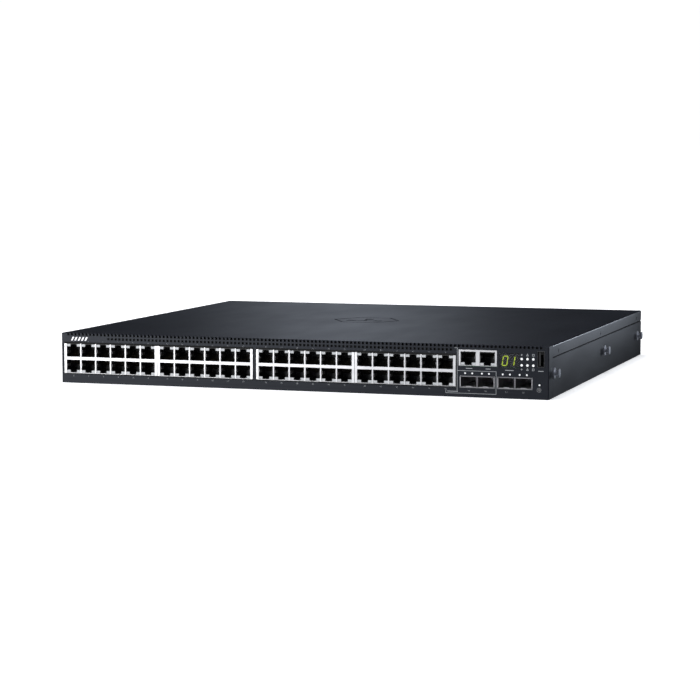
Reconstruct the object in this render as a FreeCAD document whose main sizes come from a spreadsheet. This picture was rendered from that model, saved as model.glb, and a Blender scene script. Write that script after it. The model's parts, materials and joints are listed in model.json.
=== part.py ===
"""A one-unit rackmount network switch, built as a parametric FreeCAD assembly of separate pieces.

Frame: +X to the viewer's right when facing the front, +Y to the back, +Z up. The origin is the middle of
the underside. Millimetres throughout. The driving dimensions are in the spreadsheet "dims"; every
primitive, sketch and pattern below is bound to its cells by expressions.
"""

import FreeCAD
import Part
import math
import os
import re
import Sketcher

DIMS = {
    # the case
    "width": 434.0,            # outside width of the case
    "depth": 407.0,            # front face to rear face
    "height": 43.5,            # one rack unit, less a working gap
    "skin": 1.0,               # sheet steel
    "fit_gap": 0.1,            # between pieces that butt
    "return_depth": 14.0,      # front panel's side returns
    "lip_depth": 10.0,         # front panel's top lip
    "bend": 0.9,               # outside radius of the folded edges
    "flange_low": 34.1,        # lower edge of the cover's side flanges
    "seam": 1.2,               # open slit under that edge
    "screw_head": 1.7,         # the cover's screws
    "screw_sunk": 0.1,
    "screw_bite": 1.1,         # how far they reach past the flange
    "screw_shank": 1.25,
    "screw_rise": 3.4,         # above the flange's lower edge
    "screw_front": 35.0,       # from the front face
    "screw_mid": 208.0,
    "screw_rear": 381.0,
    "emblem_x": -5.0,          # plain emblem pressed in the cover
    "emblem_y": 8.0,
    "emblem_size": 32.0,
    "emblem_line": 2.4,
    "emblem_sink": 0.4,
    # front vents
    "vent": 2.0,
    "vent_pitch": 3.45,
    "vent_top_z": 41.3,
    "vent_low_z": 38.0,
    "vent_top_count": 123,
    "vent_low_count": 90,
    "vent_low_skip": 11,       # columns left out at the left of the lower row
    "vent_wrap": 1.9,          # how far the top row cuts back over the edge
    # blocks of twelve ports
    "block_width": 87.2,
    "block_pitch": 87.6,       # a slit parts two blocks side by side
    "block_low": 8.7,
    "block_high": 34.8,
    "block_deep": 30.0,
    "block_left": -214.2,      # left side of the first block
    "block_third": -36.2,      # left side of the third block
    "port_pitch": 14.0,
    "proud": 0.4,              # jack faces stand out of the panel
    "tin": 0.3,                # shield sheet
    "window_side": 0.7,        # panel openings round the port blocks
    "window_end": 0.9,
    "bar_low": 20.3,           # the bar between the two rows
    "bar_high": 22.8,
    "rim": 0.3,                # shield rim above and below the openings
    "open_half": 6.5,          # half width of the shield's openings
    "cavity_half": 5.9,        # half width of the plug cavity
    "cavity_high": 8.75,
    "cavity_deep": 13.5,
    "notch_half": 2.95,        # latch notch, with its far corners cut off
    "notch_tip": 1.7,
    "notch_high": 2.2,
    "pipe_in": 3.1,            # the lamps beside the notch
    "pipe_out": 6.4,
    "pipe_high": 2.05,
    "pipe_deep": 9.0,
    # the two service ports
    "service_left": 141.25,
    "service_width": 32.2,
    "service_low": 26.2,
    "service_high": 39.3,
    "service_pitch": 16.2,
    "service_one": 149.25,     # centre of the first
    "service_rim": 1.5,        # shield above their openings
    # pluggable-optics cages
    "cage_left_one": 142.65,
    "cage_left_two": 174.4,
    "cage_width": 28.6,
    "cage_low": 8.3,
    "cage_high": 17.4,
    "cage_deep": 48.0,
    "bay_wide": 13.9,
    "bay_pitch": 14.2,
    "cage_tin": 0.25,
    "collar": 0.25,
    "collar_foot": 0.35,
    "latch_slot": 4.2,         # in from each side of a bay
    # small things at the right of the front
    "usb_x": 210.3,
    "usb_z": 33.2,
    "usb_wide": 5.7,
    "usb_high": 13.1,
    "usb_deep": 14.0,
    "display_x": 183.9,
    "display_z": 31.3,
    "display_wide": 16.8,
    "display_high": 12.6,
    "lamp_radius": 0.95,
    "lamp_x": 194.25,
    "lamp_pitch": 4.85,
    "lamp_low": 27.8,
    "lamp_rise": 5.2,
    "small_lamp": 0.65,        # two over each optics bay
    "small_lamp_x": 3.8,       # from the bay's left side
    "small_lamp_pitch": 6.0,
    "small_lamp_z": 19.9,
    "locator_x": 209.2,
    "locator_z": 12.0,
    "reset_x": 208.9,
    "reset_z": 7.9,
    "reset_radius": 1.0,
    "reset_travel": 0.8,
    "reset_long": 7.6,
    "switch_half": 2.8,
    # boards
    "board_low": 6.1,
    "board_thick": 1.6,
    "board_half": 213.0,
    "board_front": 2.5,
    "board_notch": 14.0,       # depth of the corner cut back round the reset button
    "board_step_x": 203.5,
    "board_wing_x": 66.0,
    "board_wing_y": 9.0,       # the wing runs on beside the fan trays to the back
    "board_rear": 191.5,
    "board_bore": 1.7,
    "post_radius": 3.0,
    "board_screw_head": 2.8,
    "service_board_low": 24.4,
    "service_board_left": 139.6,
    "service_board_deep": 56.0,
    "sink_base": 3.5,
    "sink_fin": 1.4,
    "sink_high": 18.0,
    "backplane_y": 11.0,
    "backplane_top": 38.0,
    "edge_low": 13.0,          # card-edge sockets
    "edge_high": 24.0,
    "card_z": 18.5,            # middle of the cards that they take
    # rack studs
    "stud_z": 20.5,
    "stud_front": 18.5,
    "stud_mid": 226.0,
    "stud_rear": 386.0,
    "stud_flange": 4.6,
    "stud_neck": 2.2,
    "stud_head": 3.6,
    "stud_plate": 0.9,         # from the wall: flange, foot of the cone, rim, end
    "stud_cone": 2.6,
    "stud_rim": 4.4,
    "stud_reach": 5.0,
    # power supplies
    "psu_wide": 75.0,
    "psu_deep": 180.0,
    "psu_high": 39.0,
    "psu_low": 2.4,
    "psu_one_x": -214.5,
    "psu_two_x": -136.1,
    "psu_skin": 0.8,
    "psu_fan_x": 51.0,         # from the supply's left side
    "inlet_x": 17.1,
    "inlet_half": 13.3,        # the mains inlet's body
    "inlet_rise": 9.7,
    "handle_x": 48.5,
    "handle_wide": 5.0,
    "handle_bar": 4.0,
    "latch_low": 13.0,         # side recess for the latch
    "latch_high": 29.0,
    "latch_deep": 4.5,
    "latch_thick": 1.2,
    "latch_pivot": 157.0,
    "latch_pin": 1.2,
    "latch_pin_in": 1.4,       # from the supply's side
    "latch_tip": 217.0,
    "handle_reach": 22.0,
    # fans
    "fan_size": 40.0,
    "fan_long": 28.0,
    "psu_fan_size": 36.0,
    "fan_wall": 1.2,
    "hub_plate": 2.5,
    "hub_radius": 9.3,
    "tube_radius": 2.6,
    "shaft_bore": 1.06,
    "shaft_radius": 1.0,
    "blade_gap": 1.6,
    "tray_one_x": -56.5,
    "tray_two_x": 4.5,
    "tray_wide": 58.0,
    "tray_plate": 1.2,
    "tray_low": 0.7,           # lower and upper edges of the rear covers
    "tray_high": 42.9,
    "tray_arm": 48.0,
    "fan_offset": 22.5,        # fan centre from the tray's left edge
    "screw_offset": 51.0,
    "screw_z": 10.0,
    "knob_radius": 4.5,
    "knob_long": 8.0,
    "shank_radius": 1.9,
    "shank_long": 5.0,
    "screw_hole": 2.3,         # clearance hole for a thumbscrew
    # stacking ports and the option slot
    "stack_x": 68.0,
    "stack_pitch": 27.0,
    "stack_wide": 24.0,
    "stack_low": 9.7,
    "stack_high": 20.3,
    "stack_deep": 22.0,
    "rear_vent": 2.8,
    "rear_vent_pitch": 4.1,
    "rear_vent_z": 26.0,
    "option_left": 122.5,
    "option_wide": 91.0,
    "option_screw_in": 6.0,    # from each end
    "option_rim_in": 12.0,
    "through": 6.0,            # length of a cut that must pass right through a sheet
}

doc = FreeCAD.newDocument("network_switch")
sheet = doc.addObject("Spreadsheet::Sheet", "dims")
for row, (alias, value) in enumerate(DIMS.items(), start=1):
    sheet.set(f"A{row}", str(value))
    sheet.setAlias(f"A{row}", alias)
doc.recompute()

ALIAS = re.compile(r"\b(" + "|".join(sorted(DIMS, key=len, reverse=True)) + r")\b")
FRONT, REAR = "(-depth / 2)", "(depth / 2)"
MID_Z = "(height / 2)"
finished = []


# ---------------------------------------------------------------- helpers

def bound(text):
    """A formula in the sheet's aliases, written the way an expression needs it."""
    return ALIAS.sub(r"dims.\1", str(text))


def size(alias):
    """The number that a cell of the sheet holds."""
    return float(sheet.get(alias))


def at(thing, x="0", y="0", z="0"):
    """Places an object at a point given by formulas."""
    for axis, text in (("x", x), ("y", y), ("z", z)):
        thing.setExpression("Placement.Base." + axis, bound(text))
    return thing


def box(name, x, y, z):
    """A block between two formulas along each axis."""
    made = doc.addObject("Part::Box", name)
    for prop, (low, high) in (("Length", x), ("Width", y), ("Height", z)):
        made.setExpression(prop, bound(f"({high}) - ({low})"))
    return at(made, x[0], y[0], z[0])


def rod(name, along, x, y, z, radius, length):
    """A cylinder that starts at a point and runs along +X, +Y or +Z."""
    made = doc.addObject("Part::Cylinder", name)
    turn = {"X": ((0, 1, 0), 90), "Y": ((1, 0, 0), -90), "Z": ((0, 0, 1), 0)}[along]
    made.Placement = FreeCAD.Placement(FreeCAD.Vector(), FreeCAD.Rotation(FreeCAD.Vector(*turn[0]), turn[1]))
    made.setExpression("Radius", bound(radius))
    made.setExpression("Height", bound(length))
    return at(made, x, y, z)


def fuse(name, pieces):
    made = doc.addObject("Part::MultiFuse", name)
    made.Shapes = pieces
    made.Refine = True
    return made


def cut(name, base, tools):
    """base less every tool."""
    made = doc.addObject("Part::Cut", name)
    made.Base = base
    made.Tool = tools[0] if len(tools) == 1 else fuse(name + "_tools", tools)
    made.Refine = True
    return made


def group(name, pieces):
    """Separate solids of one kind that share a node."""
    made = doc.addObject("Part::Compound", name)
    made.Links = pieces
    return made


def feature(name, solids):
    """A node of many small repeated solids, made from shapes."""
    made = doc.addObject("Part::Feature", name)
    made.Shape = Part.makeCompound(solids)
    return made


def part(label, made):
    """Registers a finished sub-part under the name of its node."""
    made.Label = label
    finished.append(made)
    return made


def new_body(name, many=False):
    made = doc.addObject("PartDesign::Body", name)
    made.AllowCompound = many
    return made


def origin_of(body, role):
    return next(f for f in body.Origin.OriginFeatures if f.Role == role)


def sketch(body, name, plane, offset=None):
    """An empty sketch on one of the body's origin planes, moved along that plane's normal."""
    made = body.newObject("Sketcher::SketchObject", name)
    made.AttachmentSupport = [(origin_of(body, plane), "")]
    made.MapMode = "FlatFace"
    if offset is not None:
        made.setExpression("AttachmentOffset.Base.z", bound(offset))
    return made


def pin_point(drawing, geometry, which, u, v):
    """Holds one point of a sketch's geometry at a place given by two formulas."""
    point = drawing.getPoint(geometry, which)
    for kind, start, text in (("DistanceX", point.x, u), ("DistanceY", point.y, v)):
        index = drawing.addConstraint(Sketcher.Constraint(kind, -1, 1, geometry, which, start))
        drawing.setExpression(f"Constraints[{index}]", bound(text))


def outline(drawing, points):
    """A closed polygon whose corners are pairs of formulas."""
    first, count = drawing.GeometryCount, len(points)
    rough = [
        FreeCAD.Vector(10 * math.cos(2 * math.pi * i / count), 10 * math.sin(2 * math.pi * i / count), 0)
        for i in range(count)
    ]
    for i in range(count):
        drawing.addGeometry(Part.LineSegment(rough[i], rough[(i + 1) % count]))
    for i in range(count):
        drawing.addConstraint(Sketcher.Constraint("Coincident", first + i, 2, first + (i + 1) % count, 1))
    for i, (u, v) in enumerate(points):
        pin_point(drawing, first + i, 1, u, v)


def rectangle(drawing, u, v):
    outline(drawing, [(u[0], v[0]), (u[1], v[0]), (u[1], v[1]), (u[0], v[1])])


def circle(drawing, u, v, radius):
    index = drawing.addGeometry(Part.Circle(FreeCAD.Vector(0, 0, 0), FreeCAD.Vector(0, 0, 1), 1.0))
    pin_point(drawing, index, 3, u, v)
    held = drawing.addConstraint(Sketcher.Constraint("Radius", index, 1.0))
    drawing.setExpression(f"Constraints[{held}]", bound(radius))


def extrude(body, kind, name, drawing, length):
    """A Pad goes along the sketch's normal, a Pocket against it."""
    made = body.newObject("PartDesign::" + kind, name)
    made.Profile = drawing
    made.setExpression("Length", bound(length))
    return made


def revolve(body, name, drawing, axis):
    made = body.newObject("PartDesign::Revolution", name)
    made.Profile = drawing
    made.ReferenceAxis = (drawing, [axis])
    made.Angle = 360
    return made


def repeat(body, name, features, axis, step, count):
    """Repeats features along an origin axis of the body."""
    made = body.newObject("PartDesign::LinearPattern", name)
    made.Originals = features
    made.Direction = (origin_of(body, axis), [""])
    made.setExpression("Length", bound(f"({step}) * (({count}) - 1)"))
    made.setExpression("Occurrences", bound(count))
    body.Tip = made
    return made


def spin(body, name, features, axis, count):
    """Repeats features round an origin axis of the body."""
    made = body.newObject("PartDesign::PolarPattern", name)
    made.Originals = features
    made.Axis = (origin_of(body, axis), [""])
    made.Angle = 360
    made.Occurrences = count
    body.Tip = made
    return made


def near(a, b):
    """Whether two lengths agree, to a hundredth of a millimetre."""
    return abs(a - b) < 0.01


def round_edges(body, name, base, wanted, radius):
    """Fillets the edges of base whose middle passes the test."""
    doc.recompute()
    names = [
        f"Edge{i}"
        for i, edge in enumerate(base.Shape.Edges, start=1)
        if wanted(edge.BoundBox)
    ]
    made = body.newObject("PartDesign::Fillet", name)
    made.Base = (base, names)
    made.setExpression("Radius", bound(radius))
    return made


# ---------------------------------------------------------------- the case

def stud_places():
    """(side, y formula) of the six rack studs."""
    return [
        (side, f"{FRONT} + {where}")
        for side in (-1, 1)
        for where in ("stud_front", "stud_mid", "stud_rear")
    ]


def cover_screw_places():
    """(side, y formula) of the screws through the cover's side flanges."""
    return [
        (side, f"{FRONT} + {where}")
        for side in (-1, 1)
        for where in ("screw_front", "screw_mid", "screw_rear")
    ]


def side_holes(name, places, z, radius):
    """Holes through both sides of the case."""
    return [
        rod(name, "X", f"{side} * (width / 2) - through / 2", y, z, radius, "through")
        for side, y in places
    ]


def chassis_base():
    """The tray: floor and two side walls, each stepped in where the cover laps over it."""
    start = f"{FRONT} + return_depth + fit_gap"
    pieces = [
        box("base_floor", ("-width / 2 + skin + fit_gap", "width / 2 - skin - fit_gap"),
            (f"{FRONT} + skin + fit_gap", REAR), ("0", "skin")),
        box("base_floor_rear", ("-width / 2", "width / 2"), (start, REAR), ("0", "skin")),
    ]
    for side in (-1, 1):
        outer, inner = f"{side} * width / 2", f"{side} * (width / 2 - skin)"
        lapped = f"{side} * (width / 2 - 2 * skin)"
        x_wall = (outer, inner) if side < 0 else (inner, outer)
        x_step = (outer, lapped) if side < 0 else (lapped, outer)
        x_tongue = (inner, lapped) if side < 0 else (lapped, inner)
        wall_top = "flange_low - seam"
        pieces += [
            box("base_wall", x_wall, (start, REAR), ("0", wall_top)),
            box("base_step", x_step, (start, f"{REAR} - 1.2 * skin"), (f"{wall_top} - skin", wall_top)),
            box("base_tongue", x_tongue, (start, f"{REAR} - 1.2 * skin"),
                (f"{wall_top} - skin", "height - 2.5 * skin")),
        ]
    body = fuse("base_sheet", pieces)
    holes = side_holes("stud_hole", stud_places(), "stud_z", "stud_neck + 0.05")
    holes += side_holes("screw_hole", cover_screw_places(), "flange_low + screw_rise", "screw_shank + 0.05")
    part("chassis_base", cut("base_pierced", body, holes))


def emblem(drawing):
    """A plain hexagon ring round three linked squares, as a network icon."""
    def corner(radius, k):
        angle = math.radians(60 * k)
        u, v = math.cos(angle), math.sin(angle)
        return (f"emblem_x + ({radius}) * {u:.6f}", f"emblem_y + ({radius}) * {v:.6f}")

    def bar(u, v):
        rectangle(drawing, tuple(f"emblem_x + ({a}) * emblem_size" for a in u),
                  tuple(f"emblem_y + ({a}) * emblem_size" for a in v))

    outline(drawing, [corner("emblem_size", k) for k in range(6)])
    outline(drawing, [corner("emblem_size - emblem_line", k) for k in range(6)])
    square = 0.12
    low, high, reach = -0.22, 0.28, 0.4
    for u, v in ((-reach, low), (reach, low), (0, high)):
        bar((u - square, u + square), (v - square, v + square))
    line = 0.04
    bar((square - reach, reach - square), (low - line, low + line))
    bar((-line, line), (low + 1.2 * line, high - square))


def top_cover():
    """The lid: a flat sheet with a flange folded down each side."""
    body = new_body("cover_body")
    profile = sketch(body, "cover_profile", "XZ_Plane", f"-({REAR})")
    half, inner = "width / 2", "(width / 2 - skin)"
    outline(profile, [
        (f"-{half}", "flange_low"), (f"-{inner}", "flange_low"), (f"-{inner}", "height - skin"),
        (inner, "height - skin"), (inner, "flange_low"), (half, "flange_low"), (half, "height"),
        (f"-{half}", "height"),
    ])
    folded = extrude(body, "Pad", "cover_fold", profile, "depth - return_depth - fit_gap")
    side, top = size("width") / 2, size("height")
    body.Tip = round_edges(
        body, "cover_bends", folded,
        lambda b: b.YLength > side and near(b.ZMin, top) and near(abs(b.XMin), side),
        "bend",
    )
    doc.recompute()
    strip = sketch(body, "cover_strip_shape", "XY_Plane", "height - skin")
    rectangle(strip, (f"-{inner} + 2 * fit_gap", f"{inner} - 2 * fit_gap"),
              (f"{FRONT} + lip_depth + fit_gap", f"{FRONT} + return_depth + fit_gap"))
    extrude(body, "Pad", "cover_strip", strip, "skin")
    mark = sketch(body, "emblem_shape", "XY_Plane", "height")
    emblem(mark)
    extrude(body, "Pocket", "emblem_press", mark, "emblem_sink")
    holes = side_holes("cover_hole", cover_screw_places(), "flange_low + screw_rise", "screw_head + 0.08")
    part("top_cover", cut("cover_pierced", body, holes))


def cover_screws():
    """Countersunk screws, each with a cross slot, through the side flanges."""
    screws = []
    for side, y in cover_screw_places():
        z, face = "(flange_low + screw_rise)", f"({side} * width / 2)"
        head_x = f"{face} + screw_sunk" if side < 0 else f"{face} - skin"
        shank_x = f"{face} + skin" if side < 0 else f"{face} - skin - screw_bite"
        head = rod("screw_head", "X", head_x, y, z, "screw_head", "skin - screw_sunk")
        shank = rod("screw_shank", "X", shank_x, y, z, "screw_shank", "screw_bite")
        slot_x, arm, half = (f"{face} - skin / 2", f"{face} + skin / 2"), "0.65 * screw_head", "0.12 * screw_head"
        slots = [
            box("screw_slot", slot_x, (f"{y} - {u}", f"{y} + {u}"), (f"{z} - {v}", f"{z} + {v}"))
            for u, v in ((arm, half), (half, arm))
        ]
        screws.append(cut("cover_screw", fuse("screw_blank", [head, shank]), slots))
    part("cover_screws", group("cover_screw_set", screws))


def rail_studs():
    """Shouldered studs that a rack rail's keyholes hook over."""
    studs = []
    for side, y in stud_places():
        body = new_body("stud")
        profile = sketch(body, "stud_profile", "XY_Plane")
        outline(profile, [
            ("-skin", "0"), ("-skin", "stud_neck"), ("0", "stud_neck"),
            ("0", "stud_flange"), ("stud_plate", "stud_flange"), ("stud_plate", "stud_neck"),
            ("stud_cone", "stud_neck"), ("stud_rim", "stud_head"),
            ("stud_reach", "stud_head"), ("stud_reach", "0"),
        ])
        revolve(body, "stud_turned", profile, "H_Axis")
        turn = 180 if side < 0 else 0
        body.Placement = FreeCAD.Placement(FreeCAD.Vector(), FreeCAD.Rotation(FreeCAD.Vector(0, 0, 1), turn))
        studs.append(at(body, f"{side} * width / 2", y, "stud_z"))
    part("rail_studs", group("stud_set", studs))


def lamp_places():
    """(x, z, radius) formulas of the round lamps, by the light pipe that they belong to."""
    main = [
        (f"lamp_x + {i} * lamp_pitch", f"lamp_low + {j} * lamp_rise", "lamp_radius")
        for i in range(3) for j in range(2)
    ]
    left, right = (
        [
            (f"{cage} + cage_tin + small_lamp_x + {bay} * bay_pitch + {k} * small_lamp_pitch",
             "small_lamp_z", "small_lamp")
            for bay in range(2) for k in range(2)
        ]
        for cage in ("cage_left_one", "cage_left_two")
    )
    return {"main": main, "left": left, "right": right, "locator": [("locator_x", "locator_z", "small_lamp")]}


def block_lefts():
    """Left sides of the four port blocks: two pairs, each pair side by side."""
    return ["block_left", "block_left + block_pitch", "block_third", "block_third + block_pitch"]


def front_panel():
    """The face: a sheet wrapped round the sides and over the top, pierced for everything that shows."""
    body = new_body("face_body")
    half, inner, back = "width / 2", "(width / 2 - skin)", f"{FRONT} + return_depth"
    plan = sketch(body, "face_plan", "XY_Plane")
    outline(plan, [
        (f"-{half}", FRONT), (half, FRONT), (half, back), (inner, back),
        (inner, f"{FRONT} + skin"), (f"-{inner}", f"{FRONT} + skin"), (f"-{inner}", back), (f"-{half}", back),
    ])
    extrude(body, "Pad", "face_wrap", plan, "height")
    lip = sketch(body, "face_lip_shape", "XY_Plane", "height - skin")
    rectangle(lip, (f"-{half}", half), (FRONT, f"{FRONT} + lip_depth"))
    folded = extrude(body, "Pad", "face_lip", lip, "skin")
    body.Tip = folded
    side, front, top = size("width") / 2, -size("depth") / 2, size("height")
    body.Tip = round_edges(
        body, "face_bends", folded,
        lambda b: near(b.YMax, front) and (
            near(b.ZMin, top) or (b.ZLength > top / 2 and near(abs(b.XMin), side))),
        "bend",
    )
    windows = sketch(body, "face_windows", "XZ_Plane", f"-({FRONT}) + 1")
    z_ports = ("block_low - window_end", "block_high + window_end")
    for left in ("block_left", "block_third"):
        rectangle(windows, (f"{left} - window_side", f"{left} + block_pitch + block_width + window_side"), z_ports)
    rectangle(windows, ("service_left - 0.4", "service_left + service_width + 0.4"),
              ("service_low - 0.5", "service_high + 0.4"))
    for left in ("cage_left_one", "cage_left_two"):
        rectangle(windows, (f"{left} - collar - 0.2", f"{left} + cage_width + collar + 0.2"),
                  ("cage_low - collar_foot - 0.3", "cage_high + collar + 0.2"))
    rectangle(windows, ("usb_x - usb_wide / 2 - 0.25", "usb_x + usb_wide / 2 + 0.25"),
              ("usb_z - usb_high / 2 - 0.25", "usb_z + usb_high / 2 + 0.25"))
    rectangle(windows, ("display_x - display_wide / 2", "display_x + display_wide / 2"),
              ("display_z - display_high / 2", "display_z + display_high / 2"))
    for places in lamp_places().values():
        for x, z, radius in places:
            circle(windows, x, z, f"{radius} + 0.15")
    circle(windows, "reset_x", "reset_z", "reset_radius + 0.3")
    extrude(body, "Pocket", "face_windows_cut", windows, "skin + 2")
    first = "(-vent_pitch * (vent_top_count - 1) / 2)"
    top = sketch(body, "vent_top_shape", "XZ_Plane", f"-({FRONT}) + 1")
    rectangle(top, (f"{first} - vent / 2", f"{first} + vent / 2"), ("vent_top_z", "height + 1"))
    top_cut = extrude(body, "Pocket", "vent_top", top, "1 + vent_wrap")
    repeat(body, "vent_top_row", [top_cut], "X_Axis", "vent_pitch", "vent_top_count")
    low = sketch(body, "vent_low_shape", "XZ_Plane", f"-({FRONT}) + 1")
    low_first = f"{first} + vent_low_skip * vent_pitch"
    rectangle(low, (f"{low_first} - vent / 2", f"{low_first} + vent / 2"), ("vent_low_z", "vent_low_z + vent"))
    low_cut = extrude(body, "Pocket", "vent_low", low, "skin + 2")
    repeat(body, "vent_low_row", [low_cut], "X_Axis", "vent_pitch", "vent_low_count")
    part("front_panel", body)


# ---------------------------------------------------------------- ports

def plug_outline(drawing, centre, base, way):
    """A plug cavity: a rectangle with the latch notch on its far side. way is +1 with the notch on top."""
    step = f"{base} + ({way}) * cavity_high"
    shoulder = f"{base} + ({way}) * (cavity_high + notch_high / 2)"
    tip = f"{base} + ({way}) * (cavity_high + notch_high)"
    right = [
        ("cavity_half", base), ("cavity_half", step), ("notch_half", step),
        ("notch_half", shoulder), ("notch_tip", tip),
    ]
    left = [(f"{centre} - {u}", v) for u, v in reversed(right)]
    outline(drawing, [(f"{centre} + {u}", v) for u, v in right] + left)


def pipe_outlines(drawing, centre, base, way):
    """Pockets for the two lamps beside the latch notch."""
    low = f"{base} + ({way}) * (cavity_high + 0.15)"
    high = f"{base} + ({way}) * (cavity_high + pipe_high + 0.25)"
    for side in (-1, 1):
        inner = f"{centre} + ({side}) * (pipe_in - 0.03)"
        outer = f"{centre} + ({side}) * (pipe_out + 0.03)"
        outline(drawing, [(inner, low), (outer, low), (outer, high), (inner, high)])


def jack_block(index, left, width, low, high, pitch, first, columns, rows):
    """One shielded jack assembly: a tin shield over a moulded housing. rows are (base, way) pairs."""
    name = f"jack{index}"
    face = f"-({FRONT}) + proud"
    shield = new_body(name + "_shield")
    plan = sketch(shield, name + "_shell", "XY_Plane", low)
    rectangle(plan, (left, f"{left} + {width}"), (f"{FRONT} - proud", f"{FRONT} - proud + block_deep"))
    extrude(shield, "Pad", name + "_shell_pad", plan, f"({high}) - ({low})")
    hollow = sketch(shield, name + "_hollow", "XY_Plane", f"{high} - tin")
    rectangle(hollow, (f"{left} + tin", f"{left} + {width} - tin"),
              (f"{FRONT} - proud + tin", f"{FRONT} - proud + block_deep - tin"))
    extrude(shield, "Pocket", name + "_hollow_cut", hollow, f"({high}) - ({low})")
    openings = sketch(shield, name + "_openings", "XZ_Plane", f"{face} + 1")
    for base, way in rows:
        span = (base, f"{high} - rim") if way > 0 else (f"{low} + rim", base)
        rectangle(openings, (f"{first} - open_half", f"{first} + open_half"), span)
    opened = extrude(shield, "Pocket", name + "_openings_cut", openings, "1 + tin * 2")
    repeat(shield, name + "_shield_row", [opened], "X_Axis", pitch, columns)

    housing = new_body(name + "_housing")
    plan = sketch(housing, name + "_block", "XY_Plane", f"{low} + tin")
    rectangle(plan, (f"{left} + tin + 0.02", f"{left} + {width} - tin - 0.02"),
              (f"{FRONT} - proud + tin + 0.02", f"{FRONT} - proud + block_deep - tin - 0.02"))
    extrude(housing, "Pad", name + "_block_pad", plan, f"({high}) - ({low}) - 2 * tin - 0.02")
    cavities = sketch(housing, name + "_cavities", "XZ_Plane", f"{face} + 1")
    pipes = sketch(housing, name + "_pipes", "XZ_Plane", f"{face} + 1")
    for base, way in rows:
        inset = f"{base} + ({way}) * 0.1"
        plug_outline(cavities, first, inset, way)
        pipe_outlines(pipes, first, inset, way)
    cuts = [
        extrude(housing, "Pocket", name + "_cavity_cut", cavities, "1 + tin + cavity_deep"),
        extrude(housing, "Pocket", name + "_pipe_cut", pipes, "1 + tin + pipe_deep"),
    ]
    repeat(housing, name + "_housing_row", cuts, "X_Axis", pitch, columns)
    return shield, housing


def port_centres():
    """(x, base, way) numbers of every port: the 48 of the four blocks, then the two service ports."""
    places = []
    lefts = [size("block_left"), size("block_left") + size("block_pitch"),
             size("block_third"), size("block_third") + size("block_pitch")]
    for left in lefts:
        first = left + (size("block_width") - 5 * size("port_pitch")) / 2
        for column in range(6):
            x = first + column * size("port_pitch")
            places.append((x, size("bar_high") + 0.1, 1))
            places.append((x, size("bar_low") - 0.1, -1))
    base = size("service_high") - size("service_rim")
    places += [(size("service_one") + k * size("service_pitch"), base - 0.1, -1) for k in range(2)]
    return places


def jacks():
    columns_first = "(block_width - 5 * port_pitch) / 2"
    for number, left in enumerate(block_lefts(), start=1):
        shield, housing = jack_block(
            number, left, "block_width", "block_low", "block_high", "port_pitch",
            f"{left} + {columns_first}", "6", [("bar_high", 1), ("bar_low", -1)],
        )
        part(f"port_shield_{number}", shield)
        part(f"port_housing_{number}", housing)
    shield, housing = jack_block(
        5, "service_left", "service_width", "service_low", "service_high", "service_pitch",
        "service_one", "2", [("service_high - service_rim", -1)],
    )
    part("service_shield", shield)
    part("service_housing", housing)


def port_contacts():
    """Eight sprung contact wires in each port, on the side away from the latch."""
    wires = []
    front, wire, pitch, reach = -size("depth") / 2, 0.35, 1.02, size("cavity_deep")
    for x, base, way in port_centres():
        # side view: up from the floor at the back, then sloping forward into the cavity
        path = [(3.0, 0.5), (3.4, 0.15), (11.6, 4.9), (reach - 0.3, 4.9), (reach - 0.3, 5.25), (11.5, 5.25)]
        corners = [FreeCAD.Vector(0, front + y, base + way * z) for y, z in path]
        face = Part.Face(Part.makePolygon(corners + corners[:1]))
        for k in range(8):
            blade = face.extrude(FreeCAD.Vector(wire, 0, 0))
            blade.translate(FreeCAD.Vector(x + (k - 3.5) * pitch - wire / 2, 0, 0))
            wires.append(blade)
    part("port_contacts", feature("contact_set", wires))


def port_light_pipes():
    """Two square lamps beside each port's latch notch."""
    pipes = []
    front, high = -size("depth") / 2, size("pipe_high")
    inner, wide = size("pipe_in"), size("pipe_out") - size("pipe_in")
    for x, base, way in port_centres():
        start = base + way * (size("cavity_high") + 0.2)
        low = min(start, start + way * high)
        for side in (-1, 1):
            left = x + side * (inner + wide / 2) - wide / 2
            pipes.append(Part.makeBox(wide, size("pipe_deep") - 0.2, high,
                                      FreeCAD.Vector(left, front - size("proud") + size("tin") + 0.05, low)))
    part("port_light_pipes", feature("light_pipe_set", pipes))


def sfp_cages():
    """Two folded cages, each with two bays, an outward collar and a latch notch at the foot of each bay."""
    cages = []
    face = f"{FRONT} - proud"
    for left in ("cage_left_one", "cage_left_two"):
        right = f"{left} + cage_width"
        shell = fuse("cage_blank", [
            box("cage_outer", (left, right), (face, f"{face} + cage_deep"), ("cage_low", "cage_high")),
            box("cage_collar", (f"{left} - collar", f"{right} + collar"), (face, f"{face} + 2 * proud"),
                ("cage_low - collar_foot", "cage_high + collar")),
        ])
        bays = []
        for k in range(2):
            start = f"{left} + cage_tin + {k} * bay_pitch"
            bays += [
                box("cage_bay", (start, f"{start} + bay_wide"),
                    (f"{face} - 1", f"{face} + cage_deep - cage_tin"),
                    ("cage_low + cage_tin", "cage_high - cage_tin")),
                box("cage_foot", (f"{start} + latch_slot", f"{start} + bay_wide - latch_slot"),
                    (f"{face} - 1", f"{face} + 1"),
                    ("cage_low - collar_foot - 0.1", "cage_low + cage_tin + 0.05")),
            ]
        cages.append(cut("cage", shell, bays))
    part("sfp_cages", group("cage_set", cages))


# ---------------------------------------------------------------- small front pieces

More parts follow.
